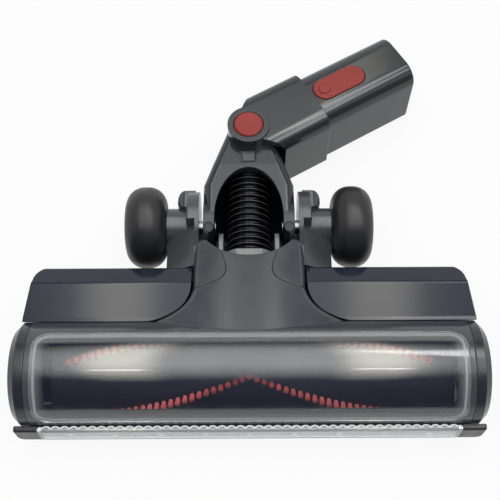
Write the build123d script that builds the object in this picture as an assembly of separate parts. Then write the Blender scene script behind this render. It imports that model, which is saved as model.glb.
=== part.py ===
from build123d import *
import os
from math import acos, asin, atan2, cos, degrees, hypot, radians, sin, sqrt

# Vacuum floor brush head with a swivelling neck. Millimetres: X to the right, Y to the rear, Z up.
# The origin is at floor level on the sole, at mid width, behind the brush opening.

# Fits and gaps, and how far a cutter passes the face it cuts
RUNNING = 0.05
SEAT = 0.02
SEAM = 0.3
SLIDE_GAP = 0.2
OVER = 1.0

# Front casing: a tube round the brush, closed by two end caps
WIDTH = 250.0
BRUSH_Y = -44.0
SHELL_R = 28.0
SHELL_Z = 27.0
SHELL_WALL = 2.6
SHELL_FRONT_LOW = 26.4
CAP_DEPTH = 8.3
CAP_BEVEL = 3.5
CAP_TOE = 25.5
SHELL_HALF = WIDTH / 2 - CAP_DEPTH - SLIDE_GAP
SHELL_INNER_R = SHELL_R - SHELL_WALL
SHELL_REAR = BRUSH_Y + SHELL_R

# Clear window, in degrees up from the front, with the lip it lies on
WINDOW_INSET = 11.7
WINDOW_HALF = WIDTH / 2 - WINDOW_INSET
WINDOW_START = 9.0
WINDOW_END = 119.5
WINDOW_CORNER = 9.5
WINDOW_THICK = 2.0
WINDOW_PROUD = 0.6
WINDOW_LIP = 6.5
WINDOW_LOW_LIP = 8.8
WINDOW_BED = 0.1
WINDOW_INNER_R = SHELL_R + WINDOW_PROUD - WINDOW_THICK

# Saddle: throat and yoke in one form, which flares to the front casing and runs back to the ears.
# The ears stand clear of the neck, which sets the saddle's width.
NECK_HALF = 26.4
NECK_SIDE = 2.4
EAR_IN = NECK_HALF + NECK_SIDE
EAR_INNER_WALL = 2.4
SADDLE_HALF = EAR_IN + EAR_INNER_WALL
FLARE_R = 45.0
FLARE_TIGHT_R = 19.0
FLARE_DEPTH = 19.0
FLARE_ROOT = 4.0
FLARE_END_Y = SHELL_REAR + FLARE_DEPTH
FLARE_REACH_Y = SHELL_REAR - FLARE_ROOT
SADDLE_GROOVE = 0.8
THROAT_Z = 50.0
THROAT_ROOT = 12.0
THROAT_Y = SHELL_REAR - THROAT_ROOT
THROAT_FALL = 0.173
THROAT_EDGE = 4.0
THROAT_CROWN_R = 173.0
RIM_WIDER = 3.2
RIM_R = EAR_IN + RIM_WIDER
RIM_Y = 52.7

# Seam across the saddle, between the front casing's tongue and the yoke
TONGUE_SEAM = [(36.0, -3.5), (28.7, 0.1), (20.0, 3.1), (15.0, 6.1), (12.9, 10.4), (14.6, 19.7), (16.2, 27.0)]
TONGUE_LOW = 36.6

# Sole plate, felt strip and their screws
SOLE_THICK = 2.5
BASE_Z = SOLE_THICK + SEAM
SOLE_SETBACK = 1.5
SOLE_FRONT = BRUSH_Y - SHELL_R + SOLE_SETBACK
SOLE_INSET = 1.5
SOLE_TAIL = 8.0
MOUTH_INSET = 21.0
MOUTH_HALF = WIDTH / 2 - MOUTH_INSET
MOUTH_DEPTH = 34.0
FELT_DEPTH = 5.0
FELT_THICK = 1.8
FELT_GAP = 5.0
SCREW_R = 1.5
SCREW_HEAD_R = 3.2
SCREW_HEAD = 1.6
SCREW_LENGTH = 12.0
SCREW_SINK = 0.3
BOSS_R = 4.0
END_SCREW_INSET = 13.0
END_SCREW_BACK = 22.0
INNER_SCREW_OUT = 12.8
INNER_SCREW_BACK = 25.0
END_SCREW = (WIDTH / 2 - END_SCREW_INSET, SHELL_REAR + END_SCREW_BACK)
INNER_SCREW = (SADDLE_HALF + INNER_SCREW_OUT, SHELL_REAR + INNER_SCREW_BACK)
SCREW_PLACES = [END_SCREW, INNER_SCREW]

# Rear casing: wings to each side of the yoke
WING_WALL = 2.2
WING_FRONT_INSET = 1.4
WING_REAR_INSET = 5.2
WING_TAPER = 22.0
WING_CREST = 19.0
WING_EDGE = 31.2
WING_DEPTH = 32.5
WING_FOOT = 30.0
WING_FRONT_HALF = WIDTH / 2 - WING_FRONT_INSET
WING_REAR_HALF = WIDTH / 2 - WING_REAR_INSET
WING_TAPER_Y = SHELL_REAR + WING_TAPER
WING_CREST_Y = SHELL_REAR + WING_CREST
WING_EDGE_Y = SHELL_REAR + WING_EDGE
WING_BACK_Y = SHELL_REAR + WING_DEPTH
WING_FOOT_Y = SHELL_REAR + WING_FOOT
WING_ROOT_Z = 38.9
WING_CREST_Z = 43.0
WING_EDGE_Z = 36.8
WING_BACK_Z = 31.0
WING_CORNER = 10.5
WING_ROUND = 3.0

# Yoke: ears that hold the axles, wheel stubs, and fairings between the wings and the stubs
YOKE_FRONT = FLARE_END_Y
YOKE_FLOOR = 6.0
EAR_STEP = 4.8
EAR_OUT = SADDLE_HALF + EAR_STEP
EAR_R = 21.0
EAR_LEAN_DEG = 115.0
EAR_FOOT_Y = 28.0
EAR_FOOT_Z = 36.0
EAR_FRONT = 5.0
EAR_EDGE = 1.2
FAIRING_HIGH = 36.5
FAIRING_LOW = 27.0
FAIRING_CLEAR = 0.8
TAB_W = 10.8
TAB_OUT = SADDLE_HALF + TAB_W
TAB_DEPTH = 11.0
TAB_HEIGHT = 11.6
TAB_ROUND = 5.0
TAB_BACK = 2.5
STUB_R = 11.2

# Rear wheels on steel axles, which also carry the neck
AXLE_Y = 47.6
AXLE_R = 4.0
WHEEL_R = 24.0
STUB_LENGTH = 17.1
WHEEL_IN = SADDLE_HALF + STUB_LENGTH
FAIRING_OUT = WHEEL_IN - FAIRING_CLEAR
WHEEL_W = 23.5
WHEEL_ROUND = 10.6
AXLE_SHORT = 2.3
AXLE_END = WHEEL_IN + WHEEL_W - AXLE_SHORT
HUB_R = 13.0
HUB_INSET = 1.0
HUB_RECESS_R = 9.0
HUB_RECESS = 4.0
CLIP_R = 6.5
CLIP_THICK = 1.0
AXLE_Z = WHEEL_R

# Brush roller, its shaft and bearings
BRUSH_Z = 22.8
BRUSH_R = 22.5
CORE_R = 18.0
CORE_INSET = 17.0
CORE_RIGHT = WIDTH / 2 - CORE_INSET
SHAFT_R = 3.0
SHAFT_INSET = 4.0
SHAFT_END = WIDTH / 2 - SHAFT_INSET
BRUSH_PULLEY_R = 14.0
BEARING_R = 7.0
BEARING_W = 4.0
TUFT_PITCH = 3.8
TUFT_END = 12.0
TUFT_HALF_ROW = int((CORE_RIGHT - TUFT_END) / TUFT_PITCH)
TUFT_R = 1.0
TUFT_TAPER = -3.0
TUFT_ROOT = 0.8
TUFT_ROWS = 3
CHEVRON_DEG = 70.0
CHEVRON_FALL = 98.0

# Drive: motor in the left wing, belt to the brush
MOTOR_BACK = 15.5
MOTOR_Y = SHELL_REAR + MOTOR_BACK
MOTOR_Z = 19.0
MOTOR_R = 12.2
MOTOR_NOSE = 2.0
MOTOR_SHAFT_R = 1.5
MOTOR_PULLEY_R = 5.0
PULLEY_INSET = 14.0
PULLEY_LEFT = PULLEY_INSET - WIDTH / 2
PULLEY_W = 5.0
MOTOR_STEP = 9.0
MOTOR_CLEAR = 22.8
MOTOR_LEFT = PULLEY_LEFT + MOTOR_STEP
MOTOR_RIGHT = -SADDLE_HALF - MOTOR_CLEAR
BELT_THICK = 1.2
BELT_GAP = 0.3
BELT_SIDE = 1.5
CORE_LEFT = PULLEY_LEFT + PULLEY_W + BELT_SIDE
CRADLE_W = 4.0

# Control board in the right wing
BOARD_CLEAR = 6.0
BOARD_LEFT = INNER_SCREW[0] + BOSS_R + BOARD_CLEAR
BOARD_LENGTH = 42.0
BOARD_DEPTH = 18.0
BOARD_THICK = 1.6
BOARD_Z = 10.0
POST_R = 2.5

# Bumper with the lamp bar: fluted lens, board and lamps
BUMPER_PROUD = 3.7
BUMPER_FRONT = BRUSH_Y - SHELL_R - BUMPER_PROUD
BUMPER_LOW = 10.6
BUMPER_HIGH = SHELL_FRONT_LOW
BUMPER_WIDER = 0.5
BUMPER_HALF = WIDTH / 2 + BUMPER_WIDER
BUMPER_TOE = 4.6
BUMPER_TOP_ROUND = 1.6
BUMPER_BAR = 3.0
BUMPER_ROUND = 1.4
LENS_INSET = 13.0
LENS_HALF = BUMPER_HALF - LENS_INSET
LENS_DEPTH = 3.2
LENS_WALL = 1.5
FLUTE_PITCH = 4.9
FLUTE_R = 3.0
FLUTE_HIGH = 2.4
LENS_EDGE = 0.8
LAMP_BOARD_THICK = 0.8
LAMP_THICK = 0.6
LAMP_PITCH = 24.0
LAMP_COUNT = int(2 * LENS_HALF / LAMP_PITCH)
LAMP_WIDTH = 3.0

# Air path: duct, collar and hose
DUCT_Z = 21.5
DUCT_R = 14.5
DUCT_WALL = 2.5
DUCT_ROOT = 3.0
DUCT_FRONT = SHELL_REAR - DUCT_ROOT
DUCT_REAR = 22.0
COLLAR_R = 16.5
COLLAR_DEPTH = 5.3
CHEEK_IN = 15.0
CHEEK_OUT = 17.5
CHEEK_REAR = 43.0
CHEEK_HEIGHT = 19.0
CHEEK_ROUND = 8.5
HOSE_R = 13.0
HOSE_GROOVE = 1.8
HOSE_WALL = 1.4
HOSE_PITCH = 4.0
HOSE_TURNS = 15
HOSE_BEND_R = 22.0

# Lower neck: a hood on two feet, with a lug above and below for the swivel
FOOT_CLEAR = 2.5
FOOT_IN = CHEEK_OUT + FOOT_CLEAR
FOOT_R = 16.5
FOOT_SWEEP = 4.0
AXLE_REACH = 0.4
AXLE_IN = FOOT_IN - AXLE_REACH
NECK_TAPER_Y = 67.8
BELLY_Y = 50.0
NECK_LOW = 5.0
NECK_TOP = 42.7
NECK_RISE_Y = 80.0
NECK_WALL = 3.2
NECK_LUG = 4.2
NECK_ROUND = 5.0
NECK_OPEN_Y = 94.0
LUG_R = 12.5
ARCH_Y = 46.0
ARCH_DEPTH = 32.0
PAD_HALF = 4.4
PAD_FRONT = 81.0
PAD_REAR = 89.2
PAD_HIGH = 1.0
PIVOT_Y = 103.2
PIVOT_PIN_R = 4.0
PIN_HEAD_R = 6.0
PIN_HEAD = 1.3
FOOT_SCREW_R = 2.6
FOOT_SCREW_FLOOR = 3.0
FOOT_SCREW_DEG = 118.0

# Elbow and connector tube, modelled straight to the rear and turned to the right at rest
REST_SWIVEL = 59.5
ELBOW_HALF = 21.8
ELBOW_LOW = 0.8
ELBOW_TOP = 48.4
ELBOW_ROUND = 9.5
ELBOW_LOW_ROUND = 4.0
ELBOW_WALL_S = 13.0
ELBOW_END_S = 45.0
ELBOW_SOCKET_S = 36.0
ELBOW_PLATE = 4.0
ELBOW_CAVITY_HALF = 17.0
BOSS_TOP = 50.2
PIVOT_CAP_R = 8.8
PIVOT_CAP_THICK = 2.4
PIVOT_CAP_DOME = 0.8
TUBE_HALF = 19.0
TUBE_LOW = 2.0
TUBE_TOP = 47.0
TUBE_ROUND = 11.0
TUBE_LOW_ROUND = 3.4
TUBE_END_ROUND = 1.2
TUBE_END_S = 109.6
SOCKET_R = 16.5
SOCKET_LENGTH = 60.0
SOCKET_FLOOR = 2.6
CUFF_R = 15.6
CUFF_LENGTH = 13.0

# Release button, its spring, and the contacts above the socket
BUTTON_S = 64.6
BUTTON_LENGTH = 35.0
BUTTON_W = 15.0
BUTTON_HEIGHT = 4.6
BUTTON_TOP = 47.8
BUTTON_ROUND = 0.9
BUTTON_TRAVEL = 2.3
BUMP_S = 54.0
BUMP_R = 3.8
BUMP_HIGH = 0.9
BUMP_ROUND = 0.8
POCKET_FLOOR = BUTTON_TOP - BUTTON_HEIGHT - BUTTON_TRAVEL - SEAM
SPRING_THICK = 0.4
SPRING_W = 8.0
SPRING_LENGTH = 22.0
CONTACT_HALF = 8.0
CONTACT_LOW = 40.2
CONTACT_HIGH = 44.4
CONTACT_DEPTH = 8.0
BLADE_X = 4.0
BLADE_W = 1.2
BLADE_HEIGHT = 2.6
BLADE_OUT = 2.0
BLADE_IN = 5.3

# Coin-slot lock that frees the brush, on the right end cap
LOCK_R = 9.5
LOCK_DEPTH = 3.0
LOCK_SLOT = 2.0
LOCK_SLOT_DEPTH = 1.6


def block(x0, x1, y0, y1, z0, z1):
    """A box between two opposite corners."""
    return Pos((x0 + x1) / 2, (y0 + y1) / 2, (z0 + z1) / 2) * Box(x1 - x0, y1 - y0, z1 - z0)


def rod_x(radius, x0, x1, y, z):
    """A cylinder along X."""
    return Pos((x0 + x1) / 2, y, z) * Rot(0, 90, 0) * Cylinder(radius, x1 - x0)


def rod_y(radius, y0, y1, x, z):
    """A cylinder along Y."""
    return Pos(x, (y0 + y1) / 2, z) * Rot(90, 0, 0) * Cylinder(radius, y1 - y0)


def rod_z(radius, z0, z1, x, y):
    """A cylinder along Z."""
    return Pos(x, y, (z0 + z1) / 2) * Cylinder(radius, z1 - z0)


def prism_x(sketch, x0, x1):
    """A side outline, drawn in Y and Z, drawn out along X."""
    return Pos(x0, 0, 0) * extrude(Plane.YZ * sketch, x1 - x0)


def prism_y(sketch, y0, y1):
    """A front outline, drawn in X and Z, drawn out along Y."""
    return Pos(0, y0, 0) * extrude(Plane.XZ * sketch, y1 - y0, dir=(0, 1, 0))


def prism_z(sketch, z0, z1):
    """A plan outline, drawn in X and Y, drawn out along Z."""
    return Pos(0, 0, z0) * extrude(sketch, z1 - z0)


def patch(u0, u1, v0, v1):
    """A flat rectangle between two opposite corners."""
    return Pos((u0 + u1) / 2, (v0 + v1) / 2) * Rectangle(u1 - u0, v1 - v0)


def outline(*points):
    """A flat face with straight sides."""
    return make_face(Polyline(*points, close=True))


def both_sides(right):
    """A right-hand shape together with its mirror image."""
    return right + mirror(right, about=Plane.YZ)


def tangent_point(px, py, cy, radius):
    """Where a line from a point touches a circle centred on X = 0, on the right-hand side."""
    away = hypot(px, py - cy)
    angle = atan2(py - cy, px) + acos(radius / away)
    return radius * cos(angle), cy + radius * sin(angle)


def crown(lower):
    """A wide cylinder along the slope, whose top gives the saddle its crown across the width."""
    slope = degrees(atan2(THROAT_FALL, 1))
    roller = Pos(0, 0, -THROAT_CROWN_R - lower) * Rot(90, 0, 0) * Cylinder(THROAT_CROWN_R, WIDTH)
    return Pos(0, THROAT_Y, THROAT_Z) * Rot(-slope, 0, 0) * roller


def ring_sector(r_in, r_out, start, end):
    """A flat ring sector about the shell's axis, in degrees up from the front."""
    outer = CenterArc((0, 0), r_out, 180 - end, end - start)
    inner = CenterArc((0, 0), r_in, 180 - end, end - start)
    sides = [Line(outer @ 0, inner @ 0), Line(outer @ 1, inner @ 1)]
    return Pos(BRUSH_Y, SHELL_Z) * make_face([outer, inner] + sides)


def window_blank(r_in, r_out, inset, low_inset, corner):
    """The window's form: a ring sector with rounded corners, inset from its edge."""
    start = WINDOW_START + degrees(low_inset / SHELL_R)
    end = WINDOW_END - degrees(inset / SHELL_R)
    half = WINDOW_HALF - inset
    solid = prism_x(ring_sector(r_in, r_out, start, end), -half, half)
    radial = [e for e in solid.edges() if e.geom_type == GeomType.LINE and abs(e.tangent_at(0).X) < 0.5]
    return fillet(radial, corner)


def saddle_plan(grow):
    """Plan of the saddle: it narrows from the front casing along two arcs to straight sides."""
    tight_x = SADDLE_HALF + FLARE_TIGHT_R
    wide_y = FLARE_REACH_Y + FLARE_R
    wide_x = tight_x + sqrt((FLARE_R - FLARE_TIGHT_R) ** 2 - (wide_y - FLARE_END_Y) ** 2)
    lean = degrees(atan2(wide_y - FLARE_END_Y, wide_x - tight_x))
    tight = CenterArc((tight_x, FLARE_END_Y), FLARE_TIGHT_R - grow, 180, lean)
    wide = CenterArc((wide_x, wide_y), FLARE_R - grow, 180 + lean, 90 - lean)
    rest = Polyline(
        tight @ 0,
        (SADDLE_HALF + grow, AXLE_Y),
        (0, AXLE_Y),
        (0, BRUSH_Y),
        (wide_x, BRUSH_Y),
        wide @ 1,
    )
    half = make_face([tight, wide] + rest.edges())
    return half + mirror(half, about=Plane.YZ)


def tongue_plan(grow):
    """Plan of what the front casing keeps of the saddle, up to the seam."""
    seam = Spline([(x + grow, y + grow) for x, y in TONGUE_SEAM])
    rest = Polyline(seam @ 1, (0, TONGUE_SEAM[-1][1] + grow), (0, BRUSH_Y), (WIDTH / 2, BRUSH_Y), seam @ 0)
    half = make_face([seam] + rest.edges())
    return half + mirror(half, about=Plane.YZ)


def saddle():
    """Throat and yoke in one, with a crowned top and rounded shoulders."""
    body = prism_z(saddle_plan(0), BASE_Z, THROAT_Z + SHELL_R) & crown(0)
    top = body.faces().sort_by(Axis.Z)[-1]
    shoulders = [e for e in top.edges() if abs(e.center().X) > SADDLE_HALF - SEAM]
    return fillet(shoulders, THROAT_EDGE)


def rim_cut(low):
    """The round opening over the hose."""
    return rod_z(RIM_R, low, THROAT_Z, 0, RIM_Y) & block(-EAR_IN, EAR_IN, 0, RIM_Y, low, THROAT_Z)


def shell_side(radius, rear, low):
    """Side outline of the front casing: round above, straight down at the rear."""
    drop = patch(BRUSH_Y, rear, low, SHELL_Z)
    return Pos(BRUSH_Y, SHELL_Z) * Circle(radius) + drop


def belt_outline(grow):
    """Closed loop round both pulleys: two circles and the quadrangle of their common tangents."""
    big = BRUSH_PULLEY_R + grow
    small = MOTOR_PULLEY_R + grow
    across = hypot(MOTOR_Y - BRUSH_Y, MOTOR_Z - BRUSH_Z)
    heading = atan2(MOTOR_Z - BRUSH_Z, MOTOR_Y - BRUSH_Y)
    lean = acos((big - small) / across)
    corners = []
    for radius, y, z in ((big, BRUSH_Y, BRUSH_Z), (small, MOTOR_Y, MOTOR_Z)):
        ends = [(y + radius * cos(heading + s * lean), z + radius * sin(heading + s * lean)) for s in (1, -1)]
        corners.append(ends)
    loop = outline(corners[0][0], corners[1][0], corners[1][1], corners[0][1])
    return loop + Pos(BRUSH_Y, BRUSH_Z) * Circle(big) + Pos(MOTOR_Y, MOTOR_Z) * Circle(small)


def belt_path_cut():
    """The space the belt needs on its way from the brush to the motor."""
    x0 = PULLEY_LEFT - BELT_SIDE
    x1 = PULLEY_LEFT + PULLEY_W + BELT_SIDE
    return prism_x(belt_outline(BELT_GAP + BELT_THICK + BELT_SIDE), x0, x1)


def make_front_shell():
    """Front casing with the window frame and the flared throat."""
    inside = shell_side(SHELL_INNER_R, SHELL_REAR - SHELL_WALL, 0)
    ring = shell_side(SHELL_R, SHELL_REAR, BASE_Z) - inside
    ring -= patch(BRUSH_Y - SHELL_R, BRUSH_Y, 0, SHELL_FRONT_LOW)
    ring -= patch(BRUSH_Y - SHELL_R, SHELL_REAR - SHELL_WALL, -SHELL_R, BASE_Z)
    tube = prism_x(ring, -SHELL_HALF, SHELL_HALF)

    back = YOKE_FRONT - SEAM
    kept = block(-WIDTH / 2, WIDTH / 2, BRUSH_Y, back, BASE_Z, TONGUE_LOW)
    kept += prism_z(tongue_plan(0), TONGUE_LOW, THROAT_Z + SHELL_R)
    throat = saddle() & kept
    throat -= rim_cut(0)
    inner = prism_z(saddle_plan(-SHELL_WALL), 0, THROAT_Z + SHELL_R) & crown(SHELL_WALL)
    throat -= inner & block(-WIDTH / 2, WIDTH / 2, BRUSH_Y, back - SHELL_WALL, 0, THROAT_Z + SHELL_R)
    throat -= prism_x(
        shell_side(SHELL_R - SHELL_WALL / 2, SHELL_REAR - SHELL_WALL / 2, 0), -WIDTH / 2, WIDTH / 2
    )

    bed_r = WINDOW_INNER_R - WINDOW_BED
    recess = window_blank(bed_r, SHELL_R + SHELL_WALL, -SLIDE_GAP, -SLIDE_GAP, WINDOW_CORNER + SLIDE_GAP)
    hole = window_blank(
        SHELL_INNER_R - SHELL_WALL, SHELL_R, WINDOW_LIP, WINDOW_LOW_LIP, WINDOW_CORNER - WINDOW_LIP / 2
    )
    shell = tube + throat - recess - hole
    shell -= rod_y(DUCT_R + SLIDE_GAP, DUCT_FRONT - SHELL_WALL, RIM_Y, 0, DUCT_Z)
    return shell - belt_path_cut()


def make_window():
    """Clear curved pane."""
    return window_blank(WINDOW_INNER_R, SHELL_R + WINDOW_PROUD, 0, 0, WINDOW_CORNER)


def cap_side():
    """Side outline of an end cap: round, with a flat foot."""
    foot = patch(BRUSH_Y - CAP_TOE, SHELL_REAR, BASE_Z, SHELL_Z)
    whole = Pos(BRUSH_Y, SHELL_Z) * Circle(SHELL_R) + foot
    return whole - patch(BRUSH_Y - SHELL_R, SHELL_REAR, SHELL_Z - 2 * SHELL_R, BASE_Z)


def make_end_cap(with_lock):
    """Right-hand end cap with its bevel and the seat of the brush bearing."""
    inner = WIDTH / 2 - CAP_DEPTH
    cap = prism_x(cap_side(), inner, WIDTH / 2)
    outer_face = cap.faces().sort_by(Axis.X)[-1]
    cap = chamfer(outer_face.edges(), CAP_BEVEL)
    cap -= rod_x(BEARING_R + SEAT, inner, inner + BEARING_W + SLIDE_GAP, BRUSH_Y, BRUSH_Z)
    cap -= rod_x(SHAFT_R + SLIDE_GAP, inner, SHAFT_END + SLIDE_GAP, BRUSH_Y, BRUSH_Z)
    if with_lock:
        floor = WIDTH / 2 - LOCK_DEPTH
        cap -= rod_x(LOCK_R + RUNNING, floor, WIDTH / 2, BRUSH_Y, BRUSH_Z)
    return cap


def make_brush_lock():
    """Round lock with a coin slot, flush in the right end cap."""
    floor = WIDTH / 2 - LOCK_DEPTH + RUNNING
    knob = rod_x(LOCK_R, floor, WIDTH / 2, BRUSH_Y, BRUSH_Z)
    half = LOCK_SLOT / 2
    reach = LOCK_R - LOCK_SLOT
    slot = block(
        WIDTH / 2 - LOCK_SLOT_DEPTH,
        WIDTH / 2,
        BRUSH_Y - reach,
        BRUSH_Y + reach,
        BRUSH_Z - half,
        BRUSH_Z + half,
    )
    return knob - slot


def wing_side(inset):
    """Side outline of the wings, inset for the hollow inside."""
    face = outline(
        (BRUSH_Y, BASE_Z),
        (BRUSH_Y, WING_ROOT_Z),
        (SHELL_REAR, WING_ROOT_Z),
        (WING_CREST_Y, WING_CREST_Z),
        (WING_EDGE_Y, WING_EDGE_Z),
        (WING_BACK_Y, WING_BACK_Z),
        (WING_FOOT_Y, BASE_Z),
    )
    rounded = [v for v in face.vertices() if v.Y > WING_BACK_Z - SEAM and v.X > SHELL_REAR + SEAM]
    face = fillet(rounded, WING_ROUND)
    face -= shell_side(SHELL_R + SEAM, SHELL_REAR + SEAM, 0)
    if inset:
        face = offset(face, -inset, kind=Kind.INTERSECTION)
        face += patch(SHELL_REAR + SEAM + inset, WING_FOOT_Y - inset, BASE_Z - inset, BASE_Z + 2 * inset)
    return face


def wing_plan(inset):
    """Plan of the wings: a slight taper to rounded rear corners."""
    plan = outline(
        (-WING_FRONT_HALF, SHELL_REAR - SHELL_R),
        (-WING_FRONT_HALF, SHELL_REAR),
        (-WING_REAR_HALF, WING_TAPER_Y),
        (-WING_REAR_HALF, WING_BACK_Y),
        (WING_REAR_HALF, WING_BACK_Y),
        (WING_REAR_HALF, WING_TAPER_Y),
        (WING_FRONT_HALF, SHELL_REAR),
        (WING_FRONT_HALF, SHELL_REAR - SHELL_R),
    )
    plan = fillet([v for v in plan.vertices() if v.Y > WING_BACK_Y - SEAM], WING_CORNER)
    return offset(plan, -inset) if inset else plan


def make_wings():
    """Both hollow wings, left and right, cut to fit round the saddle."""
    wings = prism_x(wing_side(0), -WIDTH, WIDTH) & prism_z(wing_plan(0), 0, WING_CREST_Z)
    bosses = Part() + [rod_z(BOSS_R, BASE_Z, WING_CREST_Z, x, y) for x, y in SCREW_PLACES]
    bosses = both_sides(bosses) & wings
    hollow = prism_x(wing_side(WING_WALL), -WIDTH, WIDTH) & prism_z(wing_plan(WING_WALL), 0, WING_CREST_Z)
    hollow -= prism_z(saddle_plan(SADDLE_GROOVE + WING_WALL), 0, WING_CREST_Z)
    wings = wings - hollow + bosses
    wings -= prism_z(saddle_plan(SADDLE_GROOVE), 0, WING_CREST_Z)
    wings -= belt_path_cut()
    for x, y in SCREW_PLACES:
        wings -= both_sides(rod_z(SCREW_R + SEAT, 0, SCREW_LENGTH + SEAM, x, y))
    return wings.solids().sort_by(Axis.X)


def make_yoke():
    """Yoke behind the throat: its part of the saddle, the ears, the wheel stubs and the fairings."""
    yoke = saddle() - prism_z(tongue_plan(SEAM), TONGUE_LOW - SEAM, THROAT_Z + SHELL_R)
    yoke -= block(-WIDTH / 2, WIDTH / 2, BRUSH_Y, YOKE_FRONT, 0, TONGUE_LOW + SEAM)

    lean = radians(EAR_LEAN_DEG)
    disc = Pos(AXLE_Y, AXLE_Z) * Circle(EAR_R)
    ear_side = disc + outline(
        (EAR_FOOT_Y, BASE_Z),
        (EAR_FOOT_Y, EAR_FOOT_Z),
        (AXLE_Y + EAR_R * cos(lean), AXLE_Z + EAR_R * sin(lean)),
        (AXLE_Y, AXLE_Z),
        (AXLE_Y, BASE_Z),
    )
    ear = prism_x(ear_side, EAR_IN, SADDLE_HALF)
    outer = disc & patch(AXLE_Y - EAR_FRONT, AXLE_Y + EAR_R, 0, AXLE_Z + EAR_R)
    ear += prism_x(outer, SADDLE_HALF, EAR_OUT)
    rounded = [e for e in ear.faces().sort_by(Axis.X)[-1].edges() if e.geom_type == GeomType.CIRCLE]
    ear = fillet(rounded, EAR_EDGE)
    tab_y = AXLE_Y + EAR_R - TAB_DEPTH - TAB_BACK
    tab = block(SADDLE_HALF, TAB_OUT, tab_y, tab_y + TAB_DEPTH, AXLE_Z, AXLE_Z + TAB_HEIGHT)
    tab_edges = [e for e in tab.edges() if e.center().X > TAB_OUT - SEAM and e.center().Z > AXLE_Z + SEAM]
    ear += fillet(tab_edges, TAB_ROUND)
    ear += rod_x(STUB_R, SADDLE_HALF, WHEEL_IN - SEAM, AXLE_Y, AXLE_Z)
    fairing = outline(
        (EAR_IN, BASE_Z),
        (EAR_IN, FAIRING_HIGH),
        (SADDLE_HALF, FAIRING_HIGH),
        (FAIRING_OUT, FAIRING_LOW),
        (FAIRING_OUT, BASE_Z),
    )
    ear += prism_y(fairing, WING_BACK_Y + SEAM, AXLE_Y)
    yoke += both_sides(ear)

    yoke -= rim_cut(YOKE_FLOOR)
    yoke -= rod_x(FOOT_R + FOOT_SWEEP, -EAR_IN, EAR_IN, AXLE_Y, AXLE_Z)
    yoke -= block(-EAR_IN, EAR_IN, AXLE_Y, AXLE_Y + 2 * EAR_R, 0, THROAT_Z)
    yoke -= rod_y(DUCT_R + SLIDE_GAP, YOKE_FRONT, RIM_Y, 0, DUCT_Z)
    cheek_high = DUCT_Z + COLLAR_R - SEAM
    pocket_half = CHEEK_OUT + SEAM
    yoke -= block(-pocket_half, pocket_half, DUCT_REAR - SEAM, CHEEK_REAR + SEAM, YOKE_FLOOR, cheek_high)
    return yoke - both_sides(rod_x(AXLE_R + SEAT, AXLE_IN, WHEEL_IN, AXLE_Y, AXLE_Z))


def sole_plan():
    """Plan of the sole under the casings and the yoke."""
    front_half = SHELL_HALF - SOLE_INSET
    front = patch(-front_half, front_half, SOLE_FRONT, SHELL_REAR + SOLE_INSET)
    wings = wing_plan(SOLE_INSET) & patch(-WIDTH, WIDTH, SHELL_REAR, WING_FOOT_Y - SOLE_INSET)
    yoke = patch(-EAR_OUT, EAR_OUT, SHELL_REAR, AXLE_Y + SOLE_TAIL)
    return front + wings + yoke


def felt_place():
    """Front edge of the felt strip, behind the brush opening."""
    return BRUSH_Y + MOUTH_DEPTH / 2 + FELT_GAP


def make_sole_plate():
    """Sole with the brush opening, felt groove, motor cradle and board posts."""
    sole = prism_z(sole_plan(), 0, SOLE_THICK)
    low_edges = [e for e in sole.edges() if e.center().Z < SOLE_THICK / 4]
    sole = chamfer(low_edges, SOLE_THICK / 4)
    sole -= block(
        -MOUTH_HALF, MOUTH_HALF, BRUSH_Y - MOUTH_DEPTH / 2, BRUSH_Y + MOUTH_DEPTH / 2, -SOLE_THICK, BASE_Z
    )
    y0 = felt_place()
    sole -= block(
        -MOUTH_HALF - SLIDE_GAP,
        MOUTH_HALF + SLIDE_GAP,
        y0 - SLIDE_GAP,
        y0 + FELT_DEPTH + SLIDE_GAP,
        -SOLE_THICK,
        FELT_THICK,
    )
    for x in (MOTOR_LEFT + CRADLE_W, MOTOR_RIGHT - 2 * CRADLE_W):
        rib = block(x, x + CRADLE_W, MOTOR_Y - MOTOR_R, MOTOR_Y + MOTOR_R, SOLE_THICK, MOTOR_Z - MOTOR_R / 2)
        sole += rib - rod_x(MOTOR_R + SEAT, x, x + CRADLE_W, MOTOR_Y, MOTOR_Z)
    for x in (BOARD_LEFT + 2 * POST_R, BOARD_LEFT + BOARD_LENGTH - 2 * POST_R):
        for y in (MOTOR_Y - BOARD_DEPTH / 2 + POST_R, MOTOR_Y + BOARD_DEPTH / 2 - POST_R):
            sole += rod_z(POST_R, SOLE_THICK, BOARD_Z, x, y)
    head_top = SCREW_SINK + SCREW_HEAD
    for x, y in SCREW_PLACES:
        sole -= both_sides(rod_z(SCREW_HEAD_R + SLIDE_GAP, -SOLE_THICK, head_top, x, y))
        sole -= both_sides(rod_z(SCREW_R + SLIDE_GAP, -SOLE_THICK, BASE_Z, x, y))
    return sole


def make_sole_screws():
    """Sole screws, with a cross recess in each head."""
    screws = []
    for x, y in SCREW_PLACES:
        for side in (-1, 1):
            head = rod_z(SCREW_HEAD_R, SCREW_SINK, SCREW_SINK + SCREW_HEAD, side * x, y)
            shank = rod_z(SCREW_R, SCREW_SINK + SCREW_HEAD / 2, SCREW_LENGTH, side * x, y)
            slot = Pos(side * x, y, SCREW_SINK) * Box(SCREW_R * 2, SCREW_R / 2, SCREW_HEAD)
            screws.append(head + shank - slot - slot.rotate(Axis((side * x, y, 0), (0, 0, 1)), 90))
    return Compound(children=screws)


def make_felt_strip():
    """Soft strip behind the brush opening."""
    y0 = felt_place()
    return block(-MOUTH_HALF, MOUTH_HALF, y0, y0 + FELT_DEPTH, SEAT, FELT_THICK - SEAT)


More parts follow.
